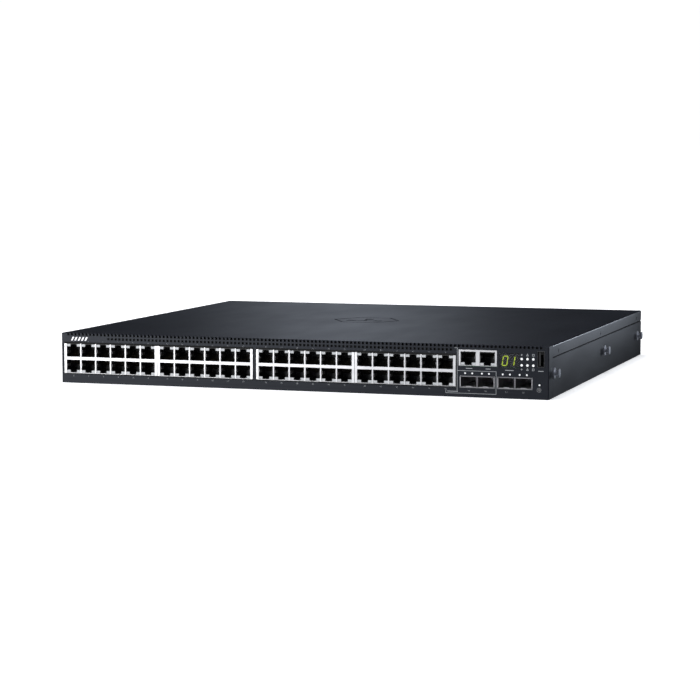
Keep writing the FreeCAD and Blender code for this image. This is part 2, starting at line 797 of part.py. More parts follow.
def usb_socket():
    """An upright USB socket: a tin shell and its contact tongue."""
    x = ("usb_x - usb_wide / 2", "usb_x + usb_wide / 2")
    z = ("usb_z - usb_high / 2", "usb_z + usb_high / 2")
    shell = box("usb_outer", x, (f"{FRONT} - 0.1", f"{FRONT} + usb_deep"), z)
    hollow = box("usb_hollow", ("usb_x - usb_wide / 2 + tin", "usb_x + usb_wide / 2 - tin"),
                 (f"{FRONT} - 1", f"{FRONT} + usb_deep - tin"),
                 ("usb_z - usb_high / 2 + tin", "usb_z + usb_high / 2 - tin"))
    part("usb_shell", cut("usb_shell_cut", shell, [hollow]))
    tongue = box("usb_blade", ("usb_x - usb_wide / 2 + 0.75", "usb_x - usb_wide / 2 + 2.45"),
                 (f"{FRONT} + 1.0", f"{FRONT} + usb_deep - 2.9"), ("usb_z - 5.6", "usb_z + 5.6"))
    root = box("usb_root", ("usb_x - usb_wide / 2 + tin + 0.02", "usb_x + usb_wide / 2 - tin - 0.02"),
               (f"{FRONT} + usb_deep - 3", f"{FRONT} + usb_deep - tin - 0.02"), ("usb_z - 6.2", "usb_z + 6.2"))
    part("usb_tongue", fuse("usb_tongue_all", [tongue, root]))


def display():
    """The two-digit stack display behind its smoked window."""
    part("display_window", box(
        "window_plate", ("display_x - display_wide / 2 + 0.08", "display_x + display_wide / 2 - 0.08"),
        (f"{FRONT} + 0.05", f"{FRONT} + 1.6"),
        ("display_z - display_high / 2 + 0.08", "display_z + display_high / 2 - 0.08"),
    ))
    part("display_module", box(
        "digit_block", ("display_x - 7.6", "display_x + 7.6"), (f"{FRONT} + 1.8", f"{FRONT} + 9.0"),
        ("service_board_low + board_thick + 0.05", "display_z + 6.4"),
    ))


def light_pipes():
    """Moulded light pipes: rods that end in the panel, joined by a bar behind it."""
    arrays = []
    for key, lamps in lamp_places().items():
        xs = [lamps[0][0], lamps[-1][0]]
        zs = [lamps[0][1], lamps[-1][1]]
        bar = box("pipe_bar", (f"{xs[0]} - 1.5", f"{xs[1]} + 1.5"), (f"{FRONT} + 6", f"{FRONT} + 8.5"),
                  (f"{zs[0]} - 1.2", f"{zs[1]} + 1.2"))
        rods = [rod("pipe_rod", "Y", x, f"{FRONT} - 0.35", z, radius, "7") for x, z, radius in lamps]
        arrays.append(fuse(f"pipe_array_{key}", [bar] + rods))
    part("status_light_pipes", group("pipe_arrays", arrays))


def reset():
    """The recessed reset button and the switch that it presses."""
    stem = rod("reset_stem", "Y", "reset_x", f"{FRONT} + 0.4", "reset_z", "reset_radius", "reset_long")
    collar = rod("reset_collar", "Y", "reset_x", f"{FRONT} + skin + 0.05", "reset_z",
                 "reset_radius + 0.8", "1.0")
    part("reset_button", fuse("reset_button_all", [stem, collar]))
    nub_y = f"{FRONT} + 0.4 + reset_long + reset_travel + 0.05"
    nub = rod("reset_nub", "Y", "reset_x", nub_y, "reset_z", "1.2", "0.4")
    block = box("reset_case", ("board_step_x + 0.05", "reset_x + switch_half"),
                (f"{nub_y} + 0.15", f"{FRONT} + board_notch - 0.1"),
                ("reset_z - switch_half", "reset_z + switch_half"))
    part("reset_switch", fuse("reset_switch_all", [block, nub]))


# ---------------------------------------------------------------- boards and what stands on them

def standoff_places():
    """(x, y) formulas of the main board's standoffs: three rows of four, then two pairs on the wing."""
    across = ("-206", "-70", "58", "206")
    rows = [(x, f"{FRONT} + {y}") for y in ("43.5", "128.5", "206.5") for x in across]
    return rows + [("76", "100"), ("206", "100"), ("76", "168"), ("206", "184")]


def boards():
    top = "(board_low + board_thick)"
    places = standoff_places()
    body = new_body("main_board_body")
    plan = sketch(body, "main_board_plan", "XY_Plane", "board_low")
    outline(plan, [
        ("-board_half", f"{FRONT} + board_front"), ("board_step_x", f"{FRONT} + board_front"),
        ("board_step_x", f"{FRONT} + board_notch"), ("board_half", f"{FRONT} + board_notch"),
        ("board_half", "board_rear"), ("board_wing_x", "board_rear"),
        ("board_wing_x", "board_wing_y"), ("-board_half", "board_wing_y"),
    ])
    extrude(body, "Pad", "main_board_pad", plan, "board_thick")
    drill = sketch(body, "main_board_holes", "XY_Plane", f"{top} + 1")
    for x, y in places:
        circle(drill, x, y, "board_bore")
    extrude(body, "Pocket", "main_board_drilled", drill, "board_thick + 2")
    part("main_board", body)
    posts = [
        cut("post", rod("post_outer", "Z", x, y, "skin + 0.02", "post_radius", "board_low - skin - 0.04"),
            [rod("post_bore", "Z", x, y, "0", "screw_shank + 0.05", "board_low + 1")])
        for x, y in places
    ]
    part("board_standoffs", group("post_set", posts))
    screws = [
        fuse("board_screw", [
            rod("board_screw_head", "Z", x, y, f"{top} + 0.02", "board_screw_head", "1.9"),
            rod("board_screw_shank", "Z", x, y, "board_low - 3.5", "screw_shank", "board_thick + 3.6"),
        ])
        for x, y in places
    ]
    part("board_screws", group("board_screw_set", screws))
    service_board()


def service_board():
    """The small upper board behind the service ports and the display, on two posts."""
    high = ("service_board_low", "service_board_low + board_thick")
    back = f"{FRONT} + service_board_deep"
    plate = box("service_board_plate", ("service_board_left", "width / 2 - 3"),
                (f"{FRONT} + skin + 0.6", back), high)
    posts = [
        box("service_post", (x, f"{x} + 2 * post_radius"), (f"{back} - 1 - 2 * post_radius", f"{back} - 1"),
            ("board_low + board_thick + 0.02", "service_board_low"))
        for x in ("service_board_left + 10", "board_step_x - 4")
    ]
    notch = box("service_board_notch", ("usb_x - usb_wide / 2 - 0.3", "width / 2"),
                (FRONT, f"{FRONT} + usb_deep + 0.3"), ("service_board_low - 1", "service_board_low + 4"))
    part("service_board", cut("service_board_all", fuse("service_board_blank", [plate] + posts), [notch]))


def chips_and_heatsinks():
    """Packages on the main board, and the two finned sinks over the hot ones."""
    top = "(board_low + board_thick)"
    # the two hot packages, with their sinks: centre, package side and height, sink size, fins
    hot = [(-20, -90, 42, 3.0, 76, 66, 15), (120, -95, 28, 2.4, 44, 40, 9)]
    # the rest: centre, size and height
    spots = [(x, y, side, side, high) for x, y, side, high, *_ in hot]
    spots += [(x, -150, 16, 16, 1.6) for x in (-185, -130, -100, -45, 0, 40)]
    spots += [(x, -120, 11, 14, 1.2) for x in (95, 110, 130, 145)]
    spots += [(x, -60, 18, 14, 9.0) for x in (-150, -120)]
    spots += [(150, 60, 20, 20, 1.8), (185, 40, 24, 12, 6.0)]
    chips = [
        box("chip", (f"{x - wide / 2}", f"{x + wide / 2}"), (f"{y - deep / 2}", f"{y + deep / 2}"),
            (f"{top} + 0.05", f"{top} + 0.05 + {high}"))
        for x, y, wide, deep, high in spots
    ]
    part("board_chips", group("chip_set", chips))
    sinks = []
    for x, y, _, high, wide, deep, fins in hot:
        left, front, back = str(x - wide / 2), str(y - deep / 2), str(y + deep / 2)
        base = f"{top} + {high} + 0.1"
        body = new_body("sink")
        plan = sketch(body, "sink_plan", "XY_Plane", base)
        rectangle(plan, (left, str(x + wide / 2)), (front, back))
        extrude(body, "Pad", "sink_base", plan, "sink_base")
        fin = sketch(body, "sink_fin_plan", "XY_Plane", f"{base} + sink_base")
        rectangle(fin, (left, f"{left} + sink_fin"), (front, back))
        blade = extrude(body, "Pad", "sink_fin", fin, "sink_high")
        repeat(body, "sink_fins", [blade], "X_Axis", f"({wide} - sink_fin) / {fins - 1}", str(fins))
        sinks.append(body)
    part("heatsinks", group("sink_set", sinks))


def power_backplane():
    """An upright board with a card-edge socket for each power supply, and its header to the main board."""
    foot, back = "(board_low + board_thick)", "(backplane_y + board_thick)"
    board = box("backplane_board", ("psu_one_x + 2", "psu_two_x + psu_wide"), ("backplane_y", back),
                (f"{foot} + 0.5", "backplane_top"))
    sockets = []
    for left in ("psu_one_x", "psu_two_x"):
        case = box("edge_case", (f"{left} + 12", f"{left} + 63"), (back, f"{back} + 9.9"),
                   ("edge_low", "edge_high"))
        slot = box("edge_slot", (f"{left} + 14.5", f"{left} + 60.5"), (f"{back} + 2.4", f"{back} + 12"),
                   ("card_z - board_thick / 2 - 0.4", "card_z + board_thick / 2 + 0.4"))
        sockets.append(cut("edge_socket", case, [slot]))
    header = box("header", ("psu_two_x - 14", "psu_two_x + 26"), ("board_wing_y - 7", "backplane_y"),
                 (f"{foot} + 0.05", "edge_high - 4"))
    part("power_backplane", group("backplane_set", [board, header] + sockets))


# ---------------------------------------------------------------- rear of the case

def rear_panel():
    """The back sheet: openings for two power supplies, two fan trays, two stacking ports and an option slot."""
    body = new_body("back_body")
    face = sketch(body, "back_face", "XZ_Plane", f"-({REAR})")
    rectangle(face, ("-width / 2 + skin + 0.05", "width / 2 - skin - 0.05"),
              ("skin + 0.02", "height - skin - 0.05"))
    extrude(body, "Pad", "back_sheet", face, "skin")
    windows = sketch(body, "back_windows", "XZ_Plane", f"-({REAR}) + through / 2")
    for left in ("psu_one_x", "psu_two_x"):
        rectangle(windows, (f"{left} - 0.3", f"{left} + psu_wide + 1"),
                  ("psu_low - 0.3", "psu_low + psu_high + 0.3"))
    for left in ("tray_one_x", "tray_two_x"):
        rectangle(windows, (f"{left} + 1", f"{left} + 2 * fan_offset - 0.8"),
                  ("tray_low + 0.7", "tray_high - 0.8"))
        circle(windows, f"{left} + screw_offset", "screw_z", "screw_hole")
    for k in range(2):
        left = f"stack_x + {k} * stack_pitch"
        rectangle(windows, (left, f"{left} + stack_wide + 0.6"), ("stack_low - 0.3", "stack_high + 0.3"))
    rectangle(windows, ("option_left + option_rim_in - 0.5", "option_left + option_wide - option_rim_in + 0.5"),
              ("4", "39.5"))
    for x in option_screw_places():
        circle(windows, x, MID_Z, "screw_hole")
    extrude(body, "Pocket", "back_windows_cut", windows, "through")
    vent = sketch(body, "back_vent_shape", "XZ_Plane", f"-({REAR}) + through / 2")
    rectangle(vent, ("stack_x + 0.2", "stack_x + 0.2 + rear_vent"), ("rear_vent_z", "rear_vent_z + rear_vent"))
    hole = extrude(body, "Pocket", "back_vent", vent, "through")
    made = repeat(body, "back_vents", [hole], "X_Axis", "rear_vent_pitch", "13")
    made.Direction2 = (origin_of(body, "Z_Axis"), [""])
    made.setExpression("Length2", bound("2 * rear_vent_pitch"))
    made.Occurrences2 = 3
    part("rear_panel", body)


def option_screw_places():
    """x formulas of the option cover's two thumbscrews."""
    return ["option_left + option_screw_in", "option_left + option_wide - option_screw_in"]


def psu_bay():
    """Sheet-metal walls between and beside the power supplies, tied across the floor."""
    y, z = ("24", f"{REAR} - 1.3 * skin"), ("skin + 0.02", "height - 2 * skin")
    divider, side = "psu_two_x - 2.2", "psu_two_x + psu_wide + 1.2"
    pieces = [
        box("bay_divider", (divider, f"{divider} + skin"), y, z),
        box("bay_side", (side, f"{side} + skin"), y, z),
    ]
    pieces += [
        box("bay_tie", (divider, f"{side} + skin"), (start, f"{start} + 24"), (z[0], f"{z[0]} + 0.8"))
        for start in ("30", "150")
    ]
    windows = [
        box("bay_latch_window", (f"{left} + psu_wide + 0.5", f"{left} + psu_wide + 3"), ("186", "193"),
            ("latch_low + 0.5", "latch_high + 1"))
        for left in ("psu_one_x", "psu_two_x")
    ]
    part("psu_bay_walls", cut("bay_walls", fuse("bay_sheet", pieces), windows))


def stack_ports():
    """Two stacking sockets: a tin shell round a plastic tongue."""
    sockets = []
    wall, middle = "0.6", "(stack_low + stack_high) / 2"
    for k in range(2):
        left = f"stack_x + 0.3 + {k} * stack_pitch"
        shell = box("stack_outer", (left, f"{left} + stack_wide"), (f"{REAR} - stack_deep", f"{REAR} + 0.6"),
                    ("stack_low", "stack_high"))
        hollow = box("stack_hollow", (f"{left} + {wall}", f"{left} + stack_wide - {wall}"),
                     (f"{REAR} - stack_deep + 4", f"{REAR} + 2"),
                     (f"stack_low + {wall}", f"stack_high - {wall}"))
        tongue = box("stack_tongue", (f"{left} + 3", f"{left} + stack_wide - 3"),
                     (f"{REAR} - stack_deep + 3", f"{REAR} - 6"), (f"{middle} - 0.7", f"{middle} + 0.9"))
        sockets.append(fuse("stack_socket", [cut("stack_shell", shell, [hollow]), tongue]))
    part("stack_ports", group("stack_set", sockets))


def thumbscrew(label, x, z):
    """A captive thumbscrew: knurled knob, slot and shank. It turns about its own axis."""
    body = new_body(label + "_body")
    profile = sketch(body, label + "_profile", "XY_Plane")
    outline(profile, [
        ("0", "-shank_long"), ("shank_radius", "-shank_long"), ("shank_radius", "tray_plate + 0.2"),
        ("knob_radius - 1", "tray_plate + 0.2"),
        ("knob_radius", "tray_plate + 1.2"), ("knob_radius", "tray_plate + knob_long - 0.8"),
        ("knob_radius - 0.8", "tray_plate + knob_long"), ("0", "tray_plate + knob_long"),
    ])
    revolve(body, label + "_turned", profile, "V_Axis")
    groove = sketch(body, label + "_groove", "XZ_Plane", "-(tray_plate + 1.6)")
    rectangle(groove, ("knob_radius - 0.35", "knob_radius + 1"), ("-0.3", "0.3"))
    knurl = extrude(body, "Pocket", label + "_knurl", groove, "knob_long - 2.8")
    spin(body, label + "_knurls", [knurl], "Y_Axis", 20)
    slot = sketch(body, label + "_slot_shape", "XZ_Plane", "-(tray_plate + knob_long + 1)")
    rectangle(slot, ("1.3 - knob_radius", "knob_radius - 1.3"), ("-0.5", "0.5"))
    made = extrude(body, "Pocket", label + "_slot", slot, "2.2")
    made.Reversed = True
    at(body, x, f"{REAR} + 0.05", z)
    part(label, body)


def hex_grille(body, name, plane_offset, depth, centre_x, centre_z, step, columns, rows):
    """Staggered hexagonal holes: two interleaved grids, centred on a point."""
    rise, radius = step * math.sqrt(3), step / 2
    for half, (across, up) in enumerate(((columns, rows), (columns - 1, rows - 1))):
        shape = sketch(body, f"{name}_hex{half}", "XZ_Plane", plane_offset)
        corners = []
        for k in range(6):
            angle = math.radians(60 * k + 30)
            u = radius * math.cos(angle) - step * (across - 1) / 2
            v = radius * math.sin(angle) - rise * (up - 1) / 2
            corners.append((f"{centre_x} + ({u:.4f})", f"{centre_z} + ({v:.4f})"))
        outline(shape, corners)
        hole = extrude(body, "Pocket", f"{name}_hole{half}", shape, depth)
        made = repeat(body, f"{name}_grid{half}", [hole], "X_Axis", f"{step}", str(across))
        made.Direction2 = (origin_of(body, "Z_Axis"), [""])
        made.Length2 = rise * (up - 1)
        made.Occurrences2 = up


def fan(frame_label, rotor_label, x, z, y, width):
    """A fan: a square frame with a bearing tube on three struts, and a cupped rotor with seven blades."""
    half, bore = f"({width}) / 2", f"(({width}) / 2 - fan_wall)"
    plate = "(fan_long - hub_plate)"
    frame = cut(frame_label + "_open",
                box(frame_label + "_block", (f"-{half}", half), ("0", "fan_long"), (f"-{half}", half)),
                [rod(frame_label + "_bore", "Y", "0", "-1", "0", bore, "fan_long + 2")])
    pieces = [
        frame,
        rod(frame_label + "_hub_plate", "Y", "0", plate, "0", "hub_radius - 0.7", "hub_plate"),
        rod(frame_label + "_tube", "Y", "0", "8", "0", "tube_radius", "fan_long - 8"),
    ]
    for k in range(3):
        strut = box(frame_label + "_strut", ("0", f"{bore} + 0.5"), (plate, "fan_long"), ("-1", "1"))
        angle = 120 * k + 30
        strut.Placement = FreeCAD.Placement(FreeCAD.Vector(), FreeCAD.Rotation(FreeCAD.Vector(0, 1, 0), angle))
        turn = math.radians(angle)
        pieces.append(at(strut, f"{-math.sin(turn):.6f}", plate, f"{-math.cos(turn):.6f}"))
    holes = [rod(frame_label + "_bearing", "Y", "0", "6", "0", "shaft_bore", "fan_long")]
    holes += [
        rod(frame_label + "_corner", "Y", f"{a} * ({half} - 3)", "-1", f"{b} * ({half} - 3)", "1.6",
            "fan_long + 2")
        for a in (-1, 1) for b in (-1, 1)
    ]
    whole = cut(frame_label + "_all", fuse(frame_label + "_blank", pieces), holes)
    part(frame_label, at(whole, x, y, z))

    body = new_body(rotor_label + "_body")
    profile = sketch(body, rotor_label + "_hub", "XY_Plane")
    cup, rim = "hub_radius - 0.9", "fan_long - 3.5"
    outline(profile, [
        ("0", "2"), ("hub_radius", "2"), ("hub_radius", rim), (cup, rim), (cup, "3.6"),
        ("shaft_radius", "3.6"), ("shaft_radius", "fan_long - 3"), ("0", "fan_long - 3"),
    ])
    revolve(body, rotor_label + "_cup", profile, "V_Axis")
    blade = sketch(body, rotor_label + "_blade_shape", "YZ_Plane", "hub_radius - 0.4")
    outline(blade, [
        ("3", "-5.2"), ("4.6", "-5.2"), ("23.4", "4.6"),
        ("23.4", "5.6"), ("21.6", "5.6"), ("3", "-4.2"),
    ])
    vane = extrude(body, "Pad", rotor_label + "_blade", blade, f"{bore} - hub_radius + 0.4 - blade_gap")
    spin(body, rotor_label + "_blades", [vane], "Y_Axis", 7)
    part(rotor_label, at(body, x, y, z))


def fan_trays():
    """Hot-swap fan trays: a face plate with a grille, two arms beside the fan, a fan and a thumbscrew."""
    for number, left in enumerate(("tray_one_x", "tray_two_x"), start=1):
        body = new_body(f"tray{number}")
        face = sketch(body, f"tray{number}_face", "XZ_Plane", f"-({REAR} + 0.05 + tray_plate)")
        rectangle(face, (left, f"{left} + tray_wide"), ("tray_low", "tray_high"))
        extrude(body, "Pad", f"tray{number}_plate", face, "tray_plate")
        arms = sketch(body, f"tray{number}_arms_shape", "XZ_Plane", f"-({REAR} + 0.1)")
        middle = f"{left} + fan_offset"
        for side in (-1, 1):
            inner = f"{middle} + ({side}) * (fan_size / 2 + 0.1)"
            outer = f"{middle} + ({side}) * (fan_size / 2 + 0.9)"
            outline(arms, [(inner, "4"), (outer, "4"), (outer, "39.5"), (inner, "39.5")])
        extrude(body, "Pad", f"tray{number}_arms", arms, "tray_arm")
        drill = sketch(body, f"tray{number}_drill", "XZ_Plane", f"-({REAR} - 1)")
        circle(drill, f"{left} + screw_offset", "screw_z", "screw_hole - 0.1")
        extrude(body, "Pocket", f"tray{number}_drilled", drill, "through")
        hex_grille(body, f"tray{number}", f"-({REAR} - 1)", "through", middle, MID_Z, 4.6, 8, 5)
        part(f"fan_tray_{number}", body)
        fan(f"fan_frame_{number}", f"fan_rotor_{number}", middle, MID_Z, f"{REAR} - fan_long - 0.6", "fan_size")
        thumbscrew(f"fan_thumbscrew_{number}", f"{left} + screw_offset", "screw_z")


def option_cover():
    """The blanking cover of the option slot: a plate with a folded rim, held by two thumbscrews."""
    left, right = "option_left", "(option_left + option_wide)"
    plate = box("option_plate", (left, right), (f"{REAR} + 0.05", f"{REAR} + 0.05 + tray_plate"),
                ("tray_low", "tray_high"))
    rim = box("option_rim", (f"{left} + option_rim_in", f"{right} - option_rim_in"),
              (f"{REAR} - 10", f"{REAR} + 0.2"), ("4.5", "39"))
    inside = box("option_inside", (f"{left} + option_rim_in + skin", f"{right} - option_rim_in - skin"),
                 (f"{REAR} - 11", f"{REAR} + 0.05"), ("4.5 + skin", "39 - skin"))
    holes = [
        rod("option_hole", "Y", x, f"{REAR} - 1", MID_Z, "screw_hole - 0.1", "through")
        for x in option_screw_places()
    ]
    part("option_cover", cut("option_cover_all", fuse("option_blank", [plate, rim]), [inside] + holes))
    for side, x in zip(("left", "right"), option_screw_places()):
        thumbscrew(f"option_thumbscrew_{side}", x, MID_Z)


# ---------------------------------------------------------------- power supplies

def psu_shell(left):
    """The steel case: hollow, with a latch recess in its right side and openings in both ends."""
    right, start, top = f"({left} + psu_wide)", f"({REAR} - psu_deep)", "(psu_low + psu_high)"
    beside = "(latch_pivot - 4)"
    outer = box("psu_outer", (left, right), (start, REAR), ("psu_low", top))
    room = box("psu_room", (f"{left} + psu_skin", f"{right} - psu_skin"),
               (f"{start} + psu_skin", f"{REAR} - psu_skin"), ("psu_low + psu_skin", f"{top} - psu_skin"))
    kept = box("psu_kept", (f"{right} - latch_deep - psu_skin", f"{right} + 1"),
               (f"{beside} - psu_skin", f"{REAR} + 1"), ("latch_low - psu_skin", "latch_high + psu_skin"))
    recess = box("psu_recess", (f"{right} - latch_deep", f"{right} + 1"), (beside, f"{REAR} + 1"),
                 ("latch_low", "latch_high"))
    pivot = rod("psu_pivot_hole", "Z", f"{right} - latch_pin_in", "latch_pivot", "latch_low - 1",
                "latch_pin + 0.06", "latch_high - latch_low + 2")
    inlet = box("psu_inlet_hole",
                (f"{left} + inlet_x - inlet_half - 0.2", f"{left} + inlet_x + inlet_half + 0.2"),
                (f"{REAR} - 3", f"{REAR} + 1"), (f"{MID_Z} - inlet_rise - 0.2", f"{MID_Z} + inlet_rise + 0.2"))
    edge = box("psu_edge_hole", (f"{left} + 14", f"{left} + 61"), (f"{start} - 1", f"{start} + 2"),
               ("card_z - 1.5", "card_z + 1.5"))
    return cut("psu_case_open", outer, [cut("psu_hollow", room, [kept]), recess, pivot, inlet, edge])


def psu_case(number, left):
    """Adds the rear grille to the case."""
    body = new_body(f"psu{number}_body")
    base = body.newObject("PartDesign::FeatureBase", f"psu{number}_base")
    base.BaseFeature = psu_shell(left)
    body.BaseFeature = base.BaseFeature
    doc.recompute()
    hex_grille(body, f"psu{number}", f"-({REAR} - 1.5)", "3", f"{left} + psu_fan_x", MID_Z, 4.4, 8, 5)
    part(f"psu_shell_{number}", body)


def mains_inlet(number, left):
    """A mains inlet: flange, body, a recess with two cut corners and three blades."""
    middle = f"({left} + inlet_x)"
    flange = box("inlet_flange", (f"{middle} - 15", f"{middle} + 15"), (f"{REAR} + 0.02", f"{REAR} + 2.4"),
                 (f"{MID_Z} - 11.5", f"{MID_Z} + 11.5"))
    case = box("inlet_case", (f"{middle} - inlet_half", f"{middle} + inlet_half"),
               (f"{REAR} - 17", f"{REAR} + 1"), (f"{MID_Z} - inlet_rise", f"{MID_Z} + inlet_rise"))
    room = new_body(f"inlet{number}_room")
    shape = sketch(room, f"inlet{number}_shape", "XZ_Plane", f"-({REAR} + 3)")
    a, b = f"{middle} - 12.1", f"{middle} + 12.1"
    low, high, corner = f"{MID_Z} - 8.1", f"{MID_Z} + 8.1", "5"
    outline(shape, [
        (a, low), (b, low), (b, f"{high} - {corner}"), (f"{b} - {corner}", high),
        (f"{a} + {corner}", high), (a, f"{high} - {corner}"),
    ])
    extrude(room, "Pad", f"inlet{number}_pad", shape, "18")
    shell = cut("inlet_shell", fuse("inlet_blank", [flange, case]), [room])
    blades = [
        box("inlet_blade", (f"{middle} + {u - 1}", f"{middle} + {u + 1}"), (f"{REAR} - 15.5", f"{REAR} - 3"),
            (f"{MID_Z} + {v - 2}", f"{MID_Z} + {v + 2}"))
        for u, v in ((-7, -2), (7, -2), (0, 2))
    ]
    part(f"psu_inlet_{number}", fuse("inlet", [shell] + blades))


def handle(number, left):
    """A bow that stands out of the supply's rear face, with its two outer corners cut."""
    low, high = "(psu_low + 0.6)", "(psu_low + psu_high - 0.6)"
    root, tip = f"{REAR} + 0.05", f"({REAR} + handle_reach)"
    body = new_body(f"handle{number}")
    bow = sketch(body, f"handle{number}_bow", "YZ_Plane", f"{left} + handle_x")
    outline(bow, [
        (root, low), (f"{tip} - 5", low), (tip, f"{low} + 5.4"), (tip, f"{high} - 5.4"), (f"{tip} - 5", high),
        (root, high), (root, f"{high} - handle_bar"), (f"{tip} - 6.6", f"{high} - handle_bar"),
        (f"{tip} - handle_bar", f"{high} - 7"), (f"{tip} - handle_bar", f"{low} + 7"),
        (f"{tip} - 6.6", f"{low} + handle_bar"), (root, f"{low} + handle_bar"),
    ])
    extrude(body, "Pad", f"handle{number}_pad", bow, "handle_wide")
    part(f"psu_handle_{number}", body)


def latch(number, left):
    """A lever on an upright pin, with a tooth and a thumb pad."""
    right, low, high = f"({left} + psu_wide)", "latch_low + 1", "latch_high - 1"
    arm = f"{right} - latch_thick"
    part(f"psu_latch_{number}", fuse("latch", [
        box("latch_arm", (arm, right), ("latch_pivot - 1.2", "latch_tip"), (low, high)),
        box("latch_boss", (f"{right} - 2.6", right), ("latch_pivot - 1.6", "latch_pivot + 1.6"),
            ("latch_low + 0.2", "latch_high - 0.2")),
        rod("latch_pivot_pin", "Z", f"{right} - latch_pin_in", "latch_pivot", "latch_low - 0.7", "latch_pin",
            "latch_high - latch_low + 1.4"),
        box("latch_tooth", (arm, f"{right} + 0.6"), ("187", "191"), ("latch_low + 3", "latch_high - 3")),
        box("latch_pad", (f"{right} - 4.4", right), (f"{REAR} + 5", "latch_tip"),
            ("latch_low + 0.5", "latch_high - 0.5")),
    ]))


def psu_board(number, left):
    """The supply's board: a card edge, a transformer, three capacitors and an upright sink."""
    right, start = f"({left} + psu_wide)", f"({REAR} - psu_deep)"
    z = ("card_z - board_thick / 2", "card_z + board_thick / 2")
    stand = "card_z + board_thick / 2 + 0.05"
    plate = fuse("psu_plate", [
        box("psu_card", (f"{left} + 5", f"{right} - 6"), (f"{start} + 1.2", f"{REAR} - 48"), z),
        box("psu_tab", (f"{left} + 15", f"{left} + 60"), (f"{start} - 7.5", f"{start} + 2"), z),
    ])
    stood = [
        box("psu_transformer", (f"{left} + 12", f"{left} + 42"), ("80", "112"), (stand, "38")),
        box("psu_sink", (f"{left} + 50", f"{left} + 54"), ("50", "140"), (stand, "37")),
    ]
    stood += [
        rod("psu_capacitor", "Z", f"{left} + {x}", y, stand, radius, high)
        for x, y, radius, high in (("24", "130", "9", "18.6"), ("24", "55", "6", "16"), ("40", "55", "6", "16"))
    ]
    part(f"psu_board_{number}", group("psu_board_set", [plate] + stood))


def power_supplies():
    for number, left in enumerate(("psu_one_x", "psu_two_x"), start=1):
        psu_case(number, left)
        mains_inlet(number, left)
        handle(number, left)
        latch(number, left)
        psu_board(number, left)
        fan(f"psu_fan_frame_{number}", f"psu_rotor_{number}", f"{left} + psu_fan_x", MID_Z,
            f"{REAR} - psu_skin - 0.2 - fan_long", "psu_fan_size")


# ---------------------------------------------------------------- build, check and write

def write_parts():
    """Writes one STEP file per finished sub-part, once every object and shape has passed."""
    doc.recompute()
    bad = [
        f"{thing.Name}: {state}"
        for thing in doc.Objects for state in thing.State if state in ("Invalid", "Error")
    ]
    if bad:
        raise SystemExit("objects that failed to build: " + ", ".join(bad))
    for made in finished:
        if made.Shape.isNull() or not made.Shape.isValid() or not made.Shape.Solids:
            raise SystemExit(f"{made.Label} has no valid solid")
    os.makedirs("parts", exist_ok=True)
    for old in os.listdir("parts"):
        os.remove(os.path.join("parts", old))
    for made in finished:
        made.Shape.exportStep(os.path.join("parts", made.Label + ".step"))
        print(f"{made.Label}: {len(made.Shape.Solids)} solids, {made.Shape.Volume / 1000:.2f} cm3")


for build in (
    chassis_base, top_cover, cover_screws, rail_studs, front_panel, jacks, port_contacts, port_light_pipes,
    sfp_cages, usb_socket, display, light_pipes, reset, boards, chips_and_heatsinks, power_backplane,
    rear_panel, psu_bay, stack_ports, fan_trays, option_cover, power_supplies,
):
    build()
write_parts()
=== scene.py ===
"""Looks for a one-unit rackmount network switch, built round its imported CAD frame."""

import json
import math

import bmesh
import bpy
from mathutils import Matrix, Vector


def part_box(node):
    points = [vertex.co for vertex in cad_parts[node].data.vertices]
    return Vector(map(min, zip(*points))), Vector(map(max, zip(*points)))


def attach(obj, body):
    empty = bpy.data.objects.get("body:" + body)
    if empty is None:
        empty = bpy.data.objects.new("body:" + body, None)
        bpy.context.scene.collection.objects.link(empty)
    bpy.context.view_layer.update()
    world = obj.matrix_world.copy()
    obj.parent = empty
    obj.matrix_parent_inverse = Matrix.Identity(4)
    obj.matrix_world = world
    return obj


MM = 0.001

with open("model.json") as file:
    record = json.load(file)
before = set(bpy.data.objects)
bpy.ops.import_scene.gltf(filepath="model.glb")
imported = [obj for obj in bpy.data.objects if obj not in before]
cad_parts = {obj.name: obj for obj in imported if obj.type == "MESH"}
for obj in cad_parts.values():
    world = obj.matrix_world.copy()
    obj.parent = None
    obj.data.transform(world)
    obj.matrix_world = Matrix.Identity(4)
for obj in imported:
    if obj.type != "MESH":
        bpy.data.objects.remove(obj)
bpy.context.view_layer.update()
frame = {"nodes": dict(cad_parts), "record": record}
nodes = frame["nodes"]


# ---------------------------------------------------------------- places, read from the frame

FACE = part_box("front_panel")[0].y            # the front face
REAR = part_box("rear_panel")[1].y             # the rear sheet's outer face
HALF_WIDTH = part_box("top_cover")[1].x
PORT_PITCH = 14.0 * MM
PORTS_PER_ROW = 6
ROW_MID = {1: 27.3 * MM, -1: 15.8 * MM}      # heights of the middles of the upper and lower port rows
SERVICE_PITCH = 16.2 * MM
SHEET = 1.0 * MM                             # thickness of the case's steel
PRINT_LIFT = 0.03 * MM                       # ink stands this far off the paint
CAGE_PAIR = 29.1 * MM                        # an optics cage with its collar
BAY_WIDE = 13.9 * MM
BAY_PITCH = 14.2 * MM
LATCH_TAB = 4.4 * MM


def centre(node):
    low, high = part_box(node)
    return (low + high) / 2


# ---------------------------------------------------------------- materials

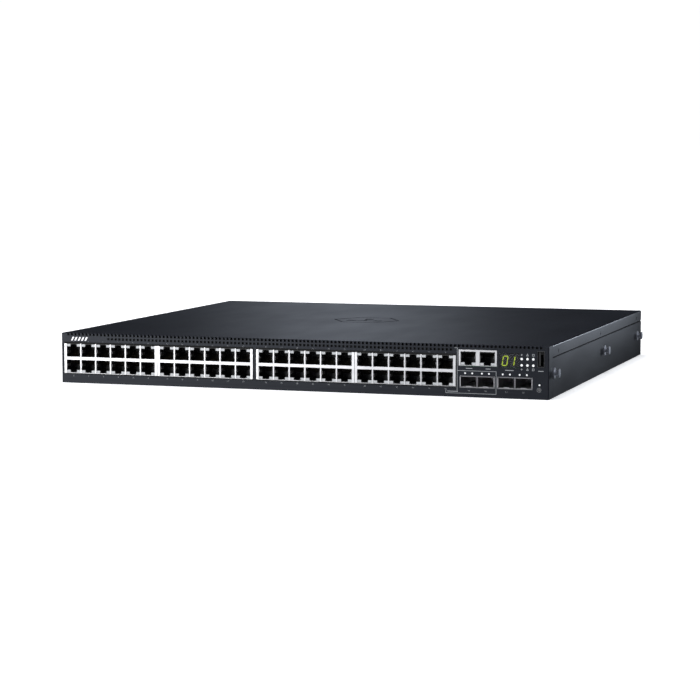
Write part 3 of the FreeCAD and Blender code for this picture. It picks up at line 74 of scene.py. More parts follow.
class Graph:
    """A small helper that adds and links the nodes of one material."""

    def __init__(self, name):
        self.material = bpy.data.materials.new(name)
        self.material.use_nodes = True
        self.tree = self.material.node_tree
        self.shader = self.tree.nodes["Principled BSDF"]
        self.place = self.add("ShaderNodeTexCoord").outputs["Object"]

    def add(self, kind, **settings):
        node = self.tree.nodes.new(kind)
        for key, value in settings.items():
            setattr(node, key, value)
        return node

    def link(self, source, target):
        self.tree.links.new(source, target)

    def scaled(self, stretch):
        """Object coordinates, stretched by a factor along each axis."""
        mapping = self.add("ShaderNodeMapping")
        mapping.inputs["Scale"].default_value = stretch
        self.link(self.place, mapping.inputs["Vector"])
        return mapping.outputs["Vector"]

    def noise(self, scale, detail=3.0, stretch=None, roughness=0.55):
        node = self.add("ShaderNodeTexNoise")
        node.inputs["Scale"].default_value = scale
        node.inputs["Detail"].default_value = detail
        node.inputs["Roughness"].default_value = roughness
        self.link(self.scaled(stretch) if stretch else self.place, node.inputs["Vector"])
        return node.outputs["Fac"]

    def ramp(self, value, low, high):
        """Maps the middle of a noise onto a pair of colours."""
        node = self.add("ShaderNodeValToRGB")
        node.color_ramp.elements[0].position = 0.32
        node.color_ramp.elements[1].position = 0.68
        node.color_ramp.elements[0].color = (*low, 1)
        node.color_ramp.elements[1].color = (*high, 1)
        self.link(value, node.inputs["Fac"])
        return node.outputs["Color"]

    def span(self, value, low, high):
        node = self.add("ShaderNodeMapRange")
        node.inputs["From Min"].default_value = 0.3
        node.inputs["From Max"].default_value = 0.7
        node.inputs["To Min"].default_value = low
        node.inputs["To Max"].default_value = high
        self.link(value, node.inputs["Value"])
        return node.outputs["Result"]

    def bump(self, height, strength, distance, under=None):
        node = self.add("ShaderNodeBump")
        node.inputs["Strength"].default_value = strength
        node.inputs["Distance"].default_value = distance
        self.link(height, node.inputs["Height"])
        if under is not None:
            self.link(under, node.inputs["Normal"])
        return node.outputs["Normal"]


def finish_material(name, low, high, rough, metallic=0.0, specular=0.5, tone_scale=40, tone_stretch=None,
                    grain_scale=2600, grain_stretch=None, grain=0.25, grain_depth=0.02, coat=0.0, glow=None):
    """A surface whose colour drifts between two tones, with a fine grain in its roughness and relief."""
    g = Graph(name)
    g.link(g.ramp(g.noise(tone_scale, 4, tone_stretch), low, high), g.shader.inputs["Base Color"])
    fine = g.noise(grain_scale, 3, grain_stretch)
    g.link(g.span(fine, *rough), g.shader.inputs["Roughness"])
    g.link(g.bump(fine, grain, grain_depth * MM), g.shader.inputs["Normal"])
    g.shader.inputs["Metallic"].default_value = metallic
    g.shader.inputs["Specular IOR Level"].default_value = specular
    g.shader.inputs["Coat Weight"].default_value = coat
    if glow:
        g.shader.inputs["Emission Color"].default_value = (*glow[0], 1)
        g.shader.inputs["Emission Strength"].default_value = glow[1]
    return g.material


def case_paint():
    """Dark powder coat: an orange-peel skin, a finer grit on it, and faint handling marks."""
    g = Graph("case_paint")
    drift = g.noise(9, 3)
    g.link(g.ramp(drift, (0.0080, 0.0088, 0.0118), (0.0100, 0.0110, 0.0146)), g.shader.inputs["Base Color"])
    peel = g.noise(900, 2)
    grit = g.noise(3800, 2)
    smears = g.noise(28, 5, (1, 0.35, 1))
    g.link(g.span(smears, 0.30, 0.35), g.shader.inputs["Roughness"])
    skin = g.bump(peel, 0.22, 0.03 * MM)
    g.link(g.bump(grit, 0.18, 0.015 * MM, skin), g.shader.inputs["Normal"])
    g.shader.inputs["Specular IOR Level"].default_value = 0.16
    g.shader.inputs["Specular Tint"].default_value = (0.86, 0.91, 1.0, 1.0)
    return g.material


def smoked_glass():
    """The tinted window in front of the digits."""
    g = Graph("display_glass")
    haze = g.noise(220, 2)
    g.link(g.ramp(haze, (0.014, 0.015, 0.019), (0.018, 0.019, 0.023)), g.shader.inputs["Base Color"])
    g.link(g.span(haze, 0.22, 0.30), g.shader.inputs["Roughness"])
    g.shader.inputs["Alpha"].default_value = 0.45
    return g.material


MATERIALS = {
    "case_paint": case_paint(),
    "port_tin": finish_material(
        "port_tin", (0.44, 0.44, 0.455), (0.52, 0.52, 0.535), (0.32, 0.44), metallic=1.0, tone_scale=160,
        grain_scale=1500, grain_stretch=(1, 1, 9), grain=0.12, grain_depth=0.01),
    "cage_tin": finish_material(
        "cage_tin", (0.40, 0.40, 0.41), (0.50, 0.50, 0.51), (0.42, 0.56), metallic=1.0, tone_scale=160,
        grain_scale=1500, grain_stretch=(1, 9, 1), grain=0.12, grain_depth=0.01),
    "port_plastic": finish_material(
        "port_plastic", (0.006, 0.006, 0.007), (0.011, 0.011, 0.012), (0.45, 0.60), specular=0.35),
    "contact_gold": finish_material(
        "contact_gold", (0.26, 0.22, 0.15), (0.36, 0.31, 0.22), (0.26, 0.38), metallic=1.0, tone_scale=900),
    "light_pipe": finish_material(
        "light_pipe", (0.30, 0.31, 0.32), (0.37, 0.38, 0.39), (0.34, 0.46), tone_scale=700),
    "lit_pipe": finish_material(
        "lit_pipe", (0.70, 0.71, 0.72), (0.78, 0.79, 0.80), (0.30, 0.42), tone_scale=700,
        glow=((1, 1, 1), 0.10)),
    "display_face": finish_material(
        "display_face", (0.008, 0.009, 0.009), (0.013, 0.014, 0.013), (0.30, 0.42), tone_scale=300),
    "display_glass": smoked_glass(),
    "board_green": finish_material(
        "board_green", (0.010, 0.085, 0.035), (0.018, 0.125, 0.055), (0.22, 0.36), tone_scale=260, coat=0.3),
    "chip_black": finish_material("chip_black", (0.012, 0.012, 0.013), (0.022, 0.022, 0.024), (0.42, 0.6)),
    "sink_aluminium": finish_material(
        "sink_aluminium", (0.70, 0.71, 0.73), (0.80, 0.81, 0.83), (0.30, 0.44), metallic=1.0,
        grain_scale=1800, grain_stretch=(1, 0.1, 1)),
    "zinc_steel": finish_material(
        "zinc_steel", (0.50, 0.51, 0.53), (0.63, 0.64, 0.66), (0.28, 0.44), metallic=1.0, tone_scale=120,
        grain_scale=1400, grain_stretch=(1, 1, 0.12), grain=0.10),
    "stud_steel": finish_material(
        "stud_steel", (0.58, 0.58, 0.61), (0.70, 0.70, 0.73), (0.24, 0.36), metallic=1.0, tone_scale=400,
        grain_scale=2600, grain_stretch=(6, 1, 1), grain=0.15),
    "fan_plastic": finish_material("fan_plastic", (0.012, 0.012, 0.013), (0.020, 0.020, 0.021), (0.40, 0.55)),
    "touch_plastic": finish_material(
        "touch_plastic", (0.010, 0.105, 0.125), (0.014, 0.135, 0.160), (0.38, 0.50), tone_scale=120),
    "grip_plastic": finish_material(
        "grip_plastic", (0.014, 0.014, 0.016), (0.024, 0.024, 0.026), (0.42, 0.58)),
    "button_plastic": finish_material(
        "button_plastic", (0.07, 0.07, 0.075), (0.11, 0.11, 0.115), (0.40, 0.55)),
    "rim_grey": finish_material(
        "rim_grey", (0.10, 0.10, 0.11), (0.15, 0.15, 0.16), (0.40, 0.52), metallic=0.4),
    "socket_nickel": finish_material(
        "socket_nickel", (0.05, 0.05, 0.055), (0.08, 0.08, 0.085), (0.34, 0.46), metallic=0.8,
        tone_scale=300),
    # Black foam for the real gaskets, also used for dark sheets that are painted shade: in the side slits,
    # behind the vents, and over the gap between port blocks.
    "gasket_foam_and_shade": finish_material(
        "gasket_foam_and_shade", (0.004, 0.004, 0.004), (0.008, 0.008, 0.008), (0.75, 0.9), specular=0.2,
        grain_scale=1200, grain=0.6, grain_depth=0.08),
    "brass": finish_material(
        "brass", (0.62, 0.46, 0.20), (0.72, 0.55, 0.27), (0.26, 0.38), metallic=1.0, tone_scale=500),
    "lamp_green": finish_material(
        "lamp_green", (0.02, 0.20, 0.05), (0.03, 0.27, 0.08), (0.25, 0.35), tone_scale=600,
        glow=((0.05, 0.9, 0.15), 0.5)),
    "white_ink": finish_material(
        "white_ink", (0.70, 0.70, 0.71), (0.80, 0.80, 0.81), (0.50, 0.65), tone_scale=800),
    "grey_ink": finish_material(
        "grey_ink", (0.20, 0.21, 0.22), (0.26, 0.27, 0.28), (0.50, 0.65), tone_scale=800),
    "digit_glow": finish_material(
        "digit_glow", (0.40, 0.55, 0.02), (0.46, 0.60, 0.03), (0.40, 0.50), tone_scale=500,
        glow=((0.50, 0.66, 0.02), 2.2)),
}
# Finishes that differ from what the node's slot in the record gives
OWN_FINISH = {"sfp_cages": "cage_tin", "stack_ports": "cage_tin", "usb_shell": "socket_nickel",
              "status_light_pipes": "lit_pipe", "cover_screws": "case_paint"}


def dress_nodes():
    """Gives every CAD node the finish of its slot in the record."""
    slots = {s["node"]: s["material_slot"] for s in frame["record"]["subparts"]}
    for name, node in nodes.items():
        node.data.materials.clear()
        node.data.materials.append(MATERIALS[OWN_FINISH.get(name, slots[name])])


# ---------------------------------------------------------------- mesh helpers

def piece(name, mesh, finish, body="chassis"):
    """Wraps a bmesh up as a piece that rides on a body."""
    bmesh.ops.recalc_face_normals(mesh, faces=mesh.faces)
    data = bpy.data.meshes.new(name)
    mesh.to_mesh(data)
    mesh.free()
    made = bpy.data.objects.new(name, data)
    bpy.context.scene.collection.objects.link(made)
    data.materials.append(MATERIALS[finish])
    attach(made, body)
    return made


def prism(mesh, outline, depth, to_space):
    """Extrudes a closed outline of (u, v) points by depth; to_space turns (u, v, w) into a place."""
    count = len(outline)
    near = [mesh.verts.new(to_space(u, v, 0)) for u, v in outline]
    far = [mesh.verts.new(to_space(u, v, depth)) for u, v in outline]
    mesh.faces.new(near)
    mesh.faces.new(list(reversed(far)))
    for i in range(count):
        j = (i + 1) % count
        mesh.faces.new((near[i], near[j], far[j], far[i]))


def on_face(offset=0.0):
    """Maps (across, up, out) onto the front face, out being towards the viewer."""
    return lambda u, v, w: Vector((u, FACE - offset - w, v))


def arc_points(cx, cz, radius, start, end, steps):
    """Points on an arc, angles in degrees."""
    for k in range(steps + 1):
        a = math.radians(start + (end - start) * k / steps)
        yield (cx + radius * math.cos(a), cz + radius * math.sin(a))


def band(mesh, outer, inner, depth, place):
    """A closed flat ring between two outlines that have the same number of points."""
    count = len(outer)
    rows = [[mesh.verts.new(place(u, v, w)) for u, v in loop] for loop, w in
            ((outer, 0), (outer, depth), (inner, depth), (inner, 0))]
    for near, far in zip(rows, rows[1:] + rows[:1]):
        for i in range(count):
            j = (i + 1) % count
            mesh.faces.new((near[i], near[j], far[j], far[i]))


def stroke(mesh, points, width, depth, place):
    """A flat printed line along (u, v) points, mitred at its corners. It is closed if its ends meet."""
    spots = [Vector(point) for point in points]
    closed = (spots[0] - spots[-1]).length < 1e-7
    if closed:
        spots.pop()
    left, right = [], []
    for i, spot in enumerate(spots):
        into = spot - spots[i - 1] if closed or i else spots[1] - spot
        onward = spots[(i + 1) % len(spots)] - spot if closed or i < len(spots) - 1 else into
        sides = [Vector((-run.y, run.x)).normalized() for run in (into, onward)]
        across = (sides[0] + sides[1]).normalized()
        reach = across * (width / 2 / across.dot(sides[0]))
        left.append(tuple(spot + reach))
        right.append(tuple(spot - reach))
    if closed:
        band(mesh, left, right, depth, place)
    else:
        prism(mesh, left + right[::-1], depth, place)


def plus_outline(arm, half):
    """The twelve corners of a plus sign: its arms' reach and their half width."""
    corners = []
    for u, v in ((1, 0), (0, 1), (-1, 0), (0, -1)):
        for side in (-1, 1):
            corners.append((u * arm - side * v * half, v * arm + side * u * half))
        corners.append((u * half - v * half, v * half + u * half))
    return corners


def rectangle(low_u, high_u, low_v, high_v):
    """The four corners of a rectangle."""
    return [(low_u, low_v), (high_u, low_v), (high_u, high_v), (low_u, high_v)]


# The ends of the seven bars of a digit, on a grid one wide and two high, and the bars each digit uses
BARS = {"a": ((0, 2), (1, 2)), "b": ((1, 2), (1, 1)), "c": ((1, 1), (1, 0)), "d": ((0, 0), (1, 0)),
        "e": ((0, 1), (0, 0)), "f": ((0, 2), (0, 1)), "g": ((0, 1), (1, 1))}
NUMERALS = {
    "0": "abcdef", "1": "bc", "2": "abged", "3": "abgcd", "4": "fgbc",
    "5": "afgcd", "6": "afgecd", "7": "abc", "8": "abcdefg", "9": "abcdfg",
}


def digit_bars(digit, left, foot, width, height):
    """The two ends of each bar of a digit that fills a box."""
    for key in NUMERALS[digit]:
        yield [Vector((left + u * width, foot + v * height / 2)) for u, v in BARS[key]]


def numeral(mesh, digit, left, foot, width, height, line, depth, place):
    """A digit drawn from straight strokes that stop short of each other at the corners."""
    for start, end in digit_bars(digit, left, foot, width, height):
        inset = (end - start).normalized() * line * 0.55
        stroke(mesh, [start + inset, end - inset], line, depth, place)


def number(mesh, value, x, foot, height, place):
    """A whole number centred on x."""
    digits, width, gap = str(value), height * 0.5, height * 0.38
    left = x - (len(digits) * width + (len(digits) - 1) * gap) / 2
    for digit in digits:
        numeral(mesh, digit, left, foot, width, height, height * 0.13, PRINT_LIFT, place)
        left += width + gap


# ---------------------------------------------------------------- print on the front

def port_columns():
    """(number of the upper port, x) of every column of ports, from left to right."""
    count = 1
    for block in range(1, 5):
        first = centre(f"port_shield_{block}").x - PORT_PITCH * (PORTS_PER_ROW - 1) / 2
        for column in range(PORTS_PER_ROW):
            yield count, first + column * PORT_PITCH
            count += 2


def port_numbers():
    """Odd numbers over the upper row and even ones under the lower row."""
    mesh = bmesh.new()
    low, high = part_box("port_shield_1")
    upper_foot, upper_tall = high.z + 1.15 * MM, 0.95 * MM
    lower_foot, lower_tall = low.z - 2.9 * MM, 1.1 * MM
    for count, x in port_columns():
        number(mesh, count, x, upper_foot, upper_tall, on_face())
        number(mesh, count + 1, x, lower_foot, lower_tall, on_face())
    piece("port_numbers", mesh, "grey_ink")


def makers_mark():
    """A made-up mark, five slanted bars in a row, where a nameplate would be printed."""
    mesh = bmesh.new()
    foot, high, wide, lean = 37.0 * MM, 3.2 * MM, 1.5 * MM, 1.6 * MM
    inset, pitch = 9.0 * MM, 3.2 * MM
    for k in range(5):
        u = -HALF_WIDTH + inset + pitch * k
        bar = [(u, foot), (u + wide, foot), (u + wide + lean, foot + high), (u + lean, foot + high)]
        prism(mesh, bar, PRINT_LIFT, on_face())
    piece("front_mark", mesh, "white_ink")


# Dashes in place of captions: x and height of the middle, and length, in mm
DASHES = ((150, 23.9, 5.4), (166, 23.9, 4.2), (184, 23.3, 7.0), (210.3, 23.4, 4.4), (136.0, 4.6, 9.0))


def print_lines():
    """The thin rules that divide the ports from the optics cages, the dashes, and the cages' numbers."""
    mesh = bmesh.new()
    left, right, hook = 139.9 * MM, 172.9 * MM, 130.2 * MM
    head, shelf, foot = 40.6 * MM, 21.9 * MM, 3.2 * MM
    line, dash_line = 0.35 * MM, 0.55 * MM
    upright = [(left - 2.2 * MM, head), (left, head), (left, foot + 1.6 * MM)]
    fence = [(left + line, shelf), (right, shelf), (right, foot), (hook, foot), (hook, foot + 2.2 * MM)]
    for path in (upright, fence):
        stroke(mesh, path, line, PRINT_LIFT, on_face())
    for x, z, long in DASHES:
        ends = [((x - long / 2) * MM, z * MM), ((x + long / 2) * MM, z * MM)]
        stroke(mesh, ends, dash_line, PRINT_LIFT, on_face())
    number_foot, number_tall = 4.9 * MM, 1.1 * MM
    for count, bay in enumerate(cage_bays(), start=2 * 4 * PORTS_PER_ROW + 1):
        number(mesh, count, bay + BAY_WIDE / 2, number_foot, number_tall, on_face())
    piece("front_rules", mesh, "grey_ink")


def lamp_icons():
    """Small plain glyphs over and under the six round lamps, and a ring round the reset button."""
    mesh = bmesh.new()
    first, pitch, rows = 194.25 * MM, 4.85 * MM, (36.3 * MM, 24.4 * MM)
    line, arm, half_arm = 0.35 * MM, 0.8 * MM, 0.2 * MM
    triangle = ((-0.8, -0.7), (0.8, -0.7), (0, 0.9), (-0.8, -0.7))
    square = ((-0.75, -0.75), (0.75, -0.75), (0.75, 0.75), (-0.75, 0.75), (-0.75, -0.75))
    for v in rows:
        sign = [(first + a, v + b) for a, b in plus_outline(arm, half_arm)]
        prism(mesh, sign, PRINT_LIFT, on_face())
        for k, corners in enumerate((triangle, square), start=1):
            glyph = [(first + pitch * k + a * MM, v + b * MM) for a, b in corners]
            stroke(mesh, glyph, line, PRINT_LIFT, on_face())
    reset_x, reset_z, reset_radius, reset_line = 208.9 * MM, 7.9 * MM, 1.75 * MM, 0.20 * MM
    ring = list(arc_points(reset_x, reset_z, reset_radius, 0, 360, 24))
    stroke(mesh, ring, reset_line, PRINT_LIFT, on_face())
    piece("lamp_icons", mesh, "grey_ink")


# ---------------------------------------------------------------- the display

def segment(mesh, start, end, half, gap, place):
    """One bar of a digit: a long hexagon with pointed ends, a gap short of the corners of the digit."""
    along = (end - start).normalized()
    side, point = Vector((-along.y, along.x)) * half, along * half
    a, b = start + along * gap, end - along * gap
    corners = [a, a + point - side, b - point - side, b, b - point + side, a + point + side]
    prism(mesh, [tuple(corner) for corner in corners], 0.04 * MM, place)


def display_digits():
    """The lit bars of two slanted seven-bar digits on the face of the display block."""
    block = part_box("display_module")[0].y
    middle = centre("display_window")
    lit = bmesh.new()
    width, height, slant, drop = 3.9 * MM, 7.7 * MM, 0.16, 0.4 * MM
    half_bar, gap = 0.40 * MM, 0.12 * MM
    place = lambda u, v, w: Vector((u + (v - middle.z) * slant, block - w, v))
    for digit, offset in (("0", -3.95 * MM), ("1", 1.9 * MM)):
        left, foot = middle.x + offset - width / 2, middle.z - height / 2 - drop
        for start, end in digit_bars(digit, left, foot, width, height):
            segment(lit, start, end, half_bar, gap, place)
    piece("display_bars", lit, "digit_glow")


# ---------------------------------------------------------------- small sheet-metal details

def spring_tabs():
    """The bowed tin tongues that touch a plug's shield, one each side of every port."""
    mesh = bmesh.new()
    half, bow, thick = 5.85 * MM, 0.55 * MM, 0.12 * MM
    first, deep, wide, steps = 0.2 * MM, 7.0 * MM, 2.6 * MM, 6
    places = [(x, ROW_MID[row]) for _, x in port_columns() for row in (1, -1)]
    service = centre("service_shield")
    places += [(service.x + s * SERVICE_PITCH / 2, service.z + 0.7 * MM) for s in (-1, 1)]
    for x, z in places:
        place = lambda u, v, w: Vector((u, v, z - wide / 2 + w))
        for side in (-1, 1):
            path = []
            for k in range(steps + 1):
                t = k / steps
                reach = half - bow * math.sin(math.pi * t) ** 1.2
                path.append((x + side * reach, FACE + first + deep * t))
            back = [(u - side * thick, y) for u, y in reversed(path)]
            prism(mesh, path + back, wide, place)
    piece("port_spring_tabs", mesh, "port_tin")


def cage_bays():
    """The left side of each of the four optics bays."""
    low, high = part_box("sfp_cages")
    for left in (low.x, high.x - CAGE_PAIR):
        for bay in range(2):
            yield left + 0.5 * MM + bay * BAY_PITCH


def bowed_strip(mesh, path, thick, wide, left):
    """A thin strip bent along a path of (y, z) points, one way up or the other as thick says."""
    back = [(y, v + thick) for y, v in reversed(path)]
    prism(mesh, path + back, wide, lambda y, v, w: Vector((left + w, y, v)))


def cage_fingers():
    """Bowed grounding fingers round the mouth of each optics bay, and the sprung latch tab at its foot."""
    mesh = bmesh.new()
    low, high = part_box("sfp_cages")
    ceiling, floor = high.z - 0.52 * MM, low.z + 0.62 * MM
    count, pitch, wide, thick = 5, 2.35 * MM, 1.7 * MM, 0.1 * MM
    start, long, bow, steps = FACE + 0.2 * MM, 4.0 * MM, 0.42 * MM, 5
    for bay in cage_bays():
        first = bay + (BAY_WIDE - (count - 1) * pitch - wide) / 2
        for finger in range(count):
            ways = ((ceiling, -1),) if finger == count // 2 else ((ceiling, -1), (floor, 1))
            for z, way in ways:
                path = [(start + long * t / steps, z + way * bow * math.sin(math.pi * t / steps))
                        for t in range(steps + 1)]
                bowed_strip(mesh, path, way * thick, wide, first + finger * pitch)
        tab = [(FACE - 0.35 * MM, floor + 0.25 * MM), (FACE - 0.2 * MM, floor + 0.5 * MM),
               (FACE + 1.2 * MM, floor + 0.45 * MM), (FACE + 5.0 * MM, floor)]
        bowed_strip(mesh, tab, 0.25 * MM, LATCH_TAB, bay + (BAY_WIDE - LATCH_TAB) / 2)
    piece("cage_fingers", mesh, "cage_tin")


def rounded(low_u, high_u, low_v, high_v, radius):
    """The corner points of a closed rounded rectangle."""
    for cu, cv, start in (
        (high_u - radius, high_v - radius, 0), (low_u + radius, high_v - radius, 90),
        (low_u + radius, low_v + radius, 180), (high_u - radius, low_v + radius, 270),
    ):
        yield from arc_points(cu, cv, radius, start, start + 90, 6)


def frame_ring(mesh, low_u, high_u, low_v, high_v, width, depth, radius, place):
    """A flat ring with rounded corners."""
    outer = list(rounded(low_u, high_u, low_v, high_v, radius))
    inner = list(rounded(low_u + width, high_u - width, low_v + width, high_v - width, radius - width / 2))
    band(mesh, outer, inner, depth, place)


def cage_rims():
    """The pale lip round each pair of optics bays, and the strip between the two bays, with flat dark squares
    on it as painted shade for its slots.
    """
    mesh, slot_shades = bmesh.new(), bmesh.new()
    low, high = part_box("sfp_cages")
    proud, sunk = 0.45 * MM, 0.02 * MM
    spread, rise, lip, radius = 0.4 * MM, 0.1 * MM, 0.55 * MM, 1.3 * MM
    half, half_slot, first_slot, slot_pitch = 0.6 * MM, 0.3 * MM, 1.9 * MM, 1.55 * MM
    for left in (low.x, high.x - CAGE_PAIR):
        frame_ring(mesh, left - spread, left + CAGE_PAIR + spread, low.z - rise, high.z + rise,
                   lip, proud, radius, on_face())
        middle = left + CAGE_PAIR / 2
        strip = rectangle(middle - half, middle + half, low.z, high.z)
        prism(mesh, strip, proud - sunk, on_face())
        # The slots are not cut: each is a flat dark square laid on the strip, painted shade of the hole.
        for k in range(5):
            z = low.z + first_slot + slot_pitch * k
            slot = rectangle(middle - half_slot, middle + half_slot, z - half_slot, z + half_slot)
            prism(slot_shades, slot, 0.02 * MM, on_face(proud - sunk))
    piece("cage_rims", mesh, "rim_grey")
    piece("cage_rim_slot_shades", slot_shades, "port_plastic")


def port_gaskets():
    """The dark foam gasket between the panel and each pair of port blocks, with a lip over the shields'
    upper edge, and a dark strip over the slit between the two blocks that is painted shade of that gap.
    The lip overlaps the shields and housings a little."""
    mesh = bmesh.new()
    room, side_room, deep, set_back = 0.85 * MM, 0.6 * MM, 1.2 * MM, 0.15 * MM
    lip_low, lip_high, lip_deep, lip_back = 0.45 * MM, 0.8 * MM, 0.56 * MM, 0.14 * MM
    half_slit = 0.32 * MM
    for first in (1, 3):
        low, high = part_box(f"port_shield_{first}")[0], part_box(f"port_shield_{first + 1}")[1]
        frame_ring(mesh, low.x - side_room, high.x + side_room, low.z - room, high.z + room,
                   0.58 * MM, deep, 0.6 * MM, on_face(-deep - set_back))
        lip = rectangle(low.x, high.x, high.z - lip_low, high.z + lip_high)
        prism(mesh, lip, lip_deep, on_face(-lip_back))
        # The strip over the slit is painted shade: a dark strip where the gap between the blocks is only
        # shaded.
        low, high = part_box(f"port_shield_{first + 1}")
        middle = low.x - 0.2 * MM
        slit = rectangle(middle - half_slit, middle + half_slit, low.z, high.z - 0.5 * MM)
        prism(mesh, slit, 0.1 * MM, on_face())
    piece("port_gaskets", mesh, "gasket_foam_and_shade")


def vent_filter():
    """A dark sheet behind the vents of the front panel, painted shade: it darkens the vent holes and hides
    the glints from the parts inside. Known fault: it runs the full width, and its foot is below the tops of
    the service jacks, the display window and the USB socket, so it cuts through them."""
    mesh = bmesh.new()
    wide, foot, top, thick = HALF_WIDTH - 3.0 * MM, 36.7 * MM, 41.9 * MM, 0.5 * MM
    # Painted shade: a dark sheet where the inside of the vents is only shaded.
    prism(mesh, rectangle(-wide, wide, foot, top), thick, on_face(-SHEET - 0.8 * MM))
    piece("vent_filter", mesh, "gasket_foam_and_shade")


def seam_strips():
    """A dark strip at the bottom of the long slit between the cover's flange and the base's wall: painted
    shade that makes the slit read dark.
    """
    mesh = bmesh.new()
    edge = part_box("top_cover")[0].z
    low, high = edge - 1.15 * MM, edge - 0.05 * MM
    start, end = FACE + 14.6 * MM, REAR - 1.6 * MM
    # These strips are painted shade: a dark sheet where the slit is only shaded.
    for side in (-1, 1):
        outline = rectangle(side * (HALF_WIDTH - SHEET), side * (HALF_WIDTH - 0.3 * MM), low, high)
        prism(mesh, outline, end - start, lambda u, v, w: Vector((u, start + w, v)))
    piece("seam_strips", mesh, "gasket_foam_and_shade")


def pan_screw(mesh, place, radius, height):
    """A pan-head screw, its axis out of the face. place maps (u, v, w) from its centre."""
    rings = [(1.0, 0.0), (1.0, 0.35), (0.93, 0.62), (0.76, 0.86), (0.50, 1.0)]
    count = 24
    around = [(math.cos(2 * math.pi * k / count), math.sin(2 * math.pi * k / count)) for k in range(count)]
    loops = [[mesh.verts.new(place(share * radius * u, share * radius * v, rise * height)) for u, v in around]
             for share, rise in rings]
    for lower, upper in zip(loops, loops[1:]):
        for k in range(count):
            j = (k + 1) % count
            mesh.faces.new((lower[k], lower[j], upper[j], upper[k]))
    mesh.faces.new(loops[-1])
    mesh.faces.new(list(reversed(loops[0])))


def cross_mark(mesh, place, size, height):
    """A flat dark cross laid a hair over the head: painted shade standing in for the shade inside a driver
    recess, which is not cut.
    """
    prism(mesh, plus_outline(size, size * 0.26), 0.03 * MM, lambda u, v, w: place(u, v, height + w))


def rear_screws():
    """The screws that hold the rear sheet."""
    heads, marks = bmesh.new(), bmesh.new()
    radius, height = 1.8 * MM, 0.9 * MM
    for x in (65.2 * MM, 120.3 * MM):
        for z in (5.0 * MM, 39.7 * MM):
            place = lambda u, v, w: Vector((x + u, REAR + w, z + v))
            pan_screw(heads, place, radius, height)
            cross_mark(marks, place, radius * 0.55, height)
    # The dark crosses are painted shade of the driver recesses.
    piece("rear_screws", heads, "zinc_steel")
    piece("rear_screw_recess_shades", marks, "port_plastic")


def disc(mesh, x, z, start, length, radius, sides=24):
    """A round or many-sided button that stands out towards +Y."""
    outline = list(arc_points(x, z, radius, 0, 360 - 360 / sides, sides - 1))
    prism(mesh, outline, length, lambda u, v, w: Vector((u, start + w, v)))


def earth_stud():
    """An earth stud under the stacking sockets: a washer, a hexagon nut and a threaded end."""
    x, z = 93.5 * MM, 4.9 * MM
    washer_thick, nut_thick, thread, crest = 0.5 * MM, 1.9 * MM, 0.5 * MM, 0.32 * MM
    outer_radius, inner_radius = 1.45 * MM, 1.25 * MM
    washer, nut, end = bmesh.new(), bmesh.new(), bmesh.new()
    disc(washer, x, z, REAR, washer_thick, 3.6 * MM)
    disc(nut, x, z, REAR + washer_thick, nut_thick, 3.0 * MM, 6)
    for turn in range(6):
        start = REAR + washer_thick + nut_thick + thread * turn
        disc(end, x, z, start, crest, outer_radius)
        disc(end, x, z, start + crest, thread - crest, inner_radius)
    piece("earth_washer", washer, "zinc_steel")
    piece("earth_nut", nut, "brass")
    piece("earth_stud", end, "brass")


def supply_fittings():
    """What is on the face of each power supply: a status lamp in its bezel, and two corner screws."""
    bezel_radius, bezel_high, glow_radius, glow_high = 1.6 * MM, 0.35 * MM, 1.1 * MM, 0.3 * MM
    inset, screw_radius, screw_high = 3.0 * MM, 1.6 * MM, 0.7 * MM
    for supply in (1, 2):
        low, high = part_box(f"psu_shell_{supply}")
        body, face = f"psu_{supply}", high.y
        bezel, glow, heads, marks = bmesh.new(), bmesh.new(), bmesh.new(), bmesh.new()
        x, z = low.x + 33.8 * MM, low.z + 34.6 * MM
        disc(bezel, x, z, face, bezel_high, bezel_radius)
        disc(glow, x, z, face + bezel_high, glow_high, glow_radius)
        for spot in (low.z + inset, high.z - inset):
            place = lambda u, v, w: Vector((low.x + 3.2 * MM + u, face + w, spot + v))
            pan_screw(heads, place, screw_radius, screw_high)
            cross_mark(marks, place, 0.9 * MM, screw_high)
        piece(f"psu_lamp_bezel_{supply}", bezel, "grip_plastic", body)
        piece(f"psu_lamp_{supply}", glow, "lamp_green", body)
        piece(f"psu_screws_{supply}", heads, "zinc_steel", body)
        # The dark crosses are painted shade of the driver recesses.
        piece(f"psu_screw_recess_shades_{supply}", marks, "port_plastic", body)


# ---------------------------------------------------------------- room, light and camera

def stage():
    """A wide pale floor."""
    mesh = bmesh.new()
    size = 60.0
    corners = [mesh.verts.new((a * size, b * size, 0)) for a, b in ((-1, -1), (1, -1), (1, 1), (-1, 1))]
    mesh.faces.new(corners)
    data = bpy.data.meshes.new("floor")
    mesh.to_mesh(data)
    mesh.free()
    floor = bpy.data.objects.new("floor", data)
    floor.visible_glossy = False
    bpy.context.scene.collection.objects.link(floor)
    material = bpy.data.materials.new("floor")
    material.use_nodes = True
    shader = material.node_tree.nodes["Principled BSDF"]
    shader.inputs["Base Color"].default_value = (0.90, 0.90, 0.90, 1)
    shader.inputs["Roughness"].default_value = 0.9
    shader.inputs["Emission Color"].default_value = (1, 1, 1, 1)
    shader.inputs["Emission Strength"].default_value = 0.5
    data.materials.append(material)


def lamp(name, place, target, size, power, spread=180):
    """A rectangular light that faces a target and doesn't show to the camera."""
    data = bpy.data.lights.new(name, "AREA")
    data.shape = "RECTANGLE"
    data.size, data.size_y = size
    data.energy = power
    data.spread = math.radians(spread)
    made = bpy.data.objects.new(name, data)
    made.location = place
    made.rotation_euler = (Vector(target) - Vector(place)).to_track_quat("-Z", "Y").to_euler()
    made.visible_camera = False
    bpy.context.scene.collection.objects.link(made)
    return made


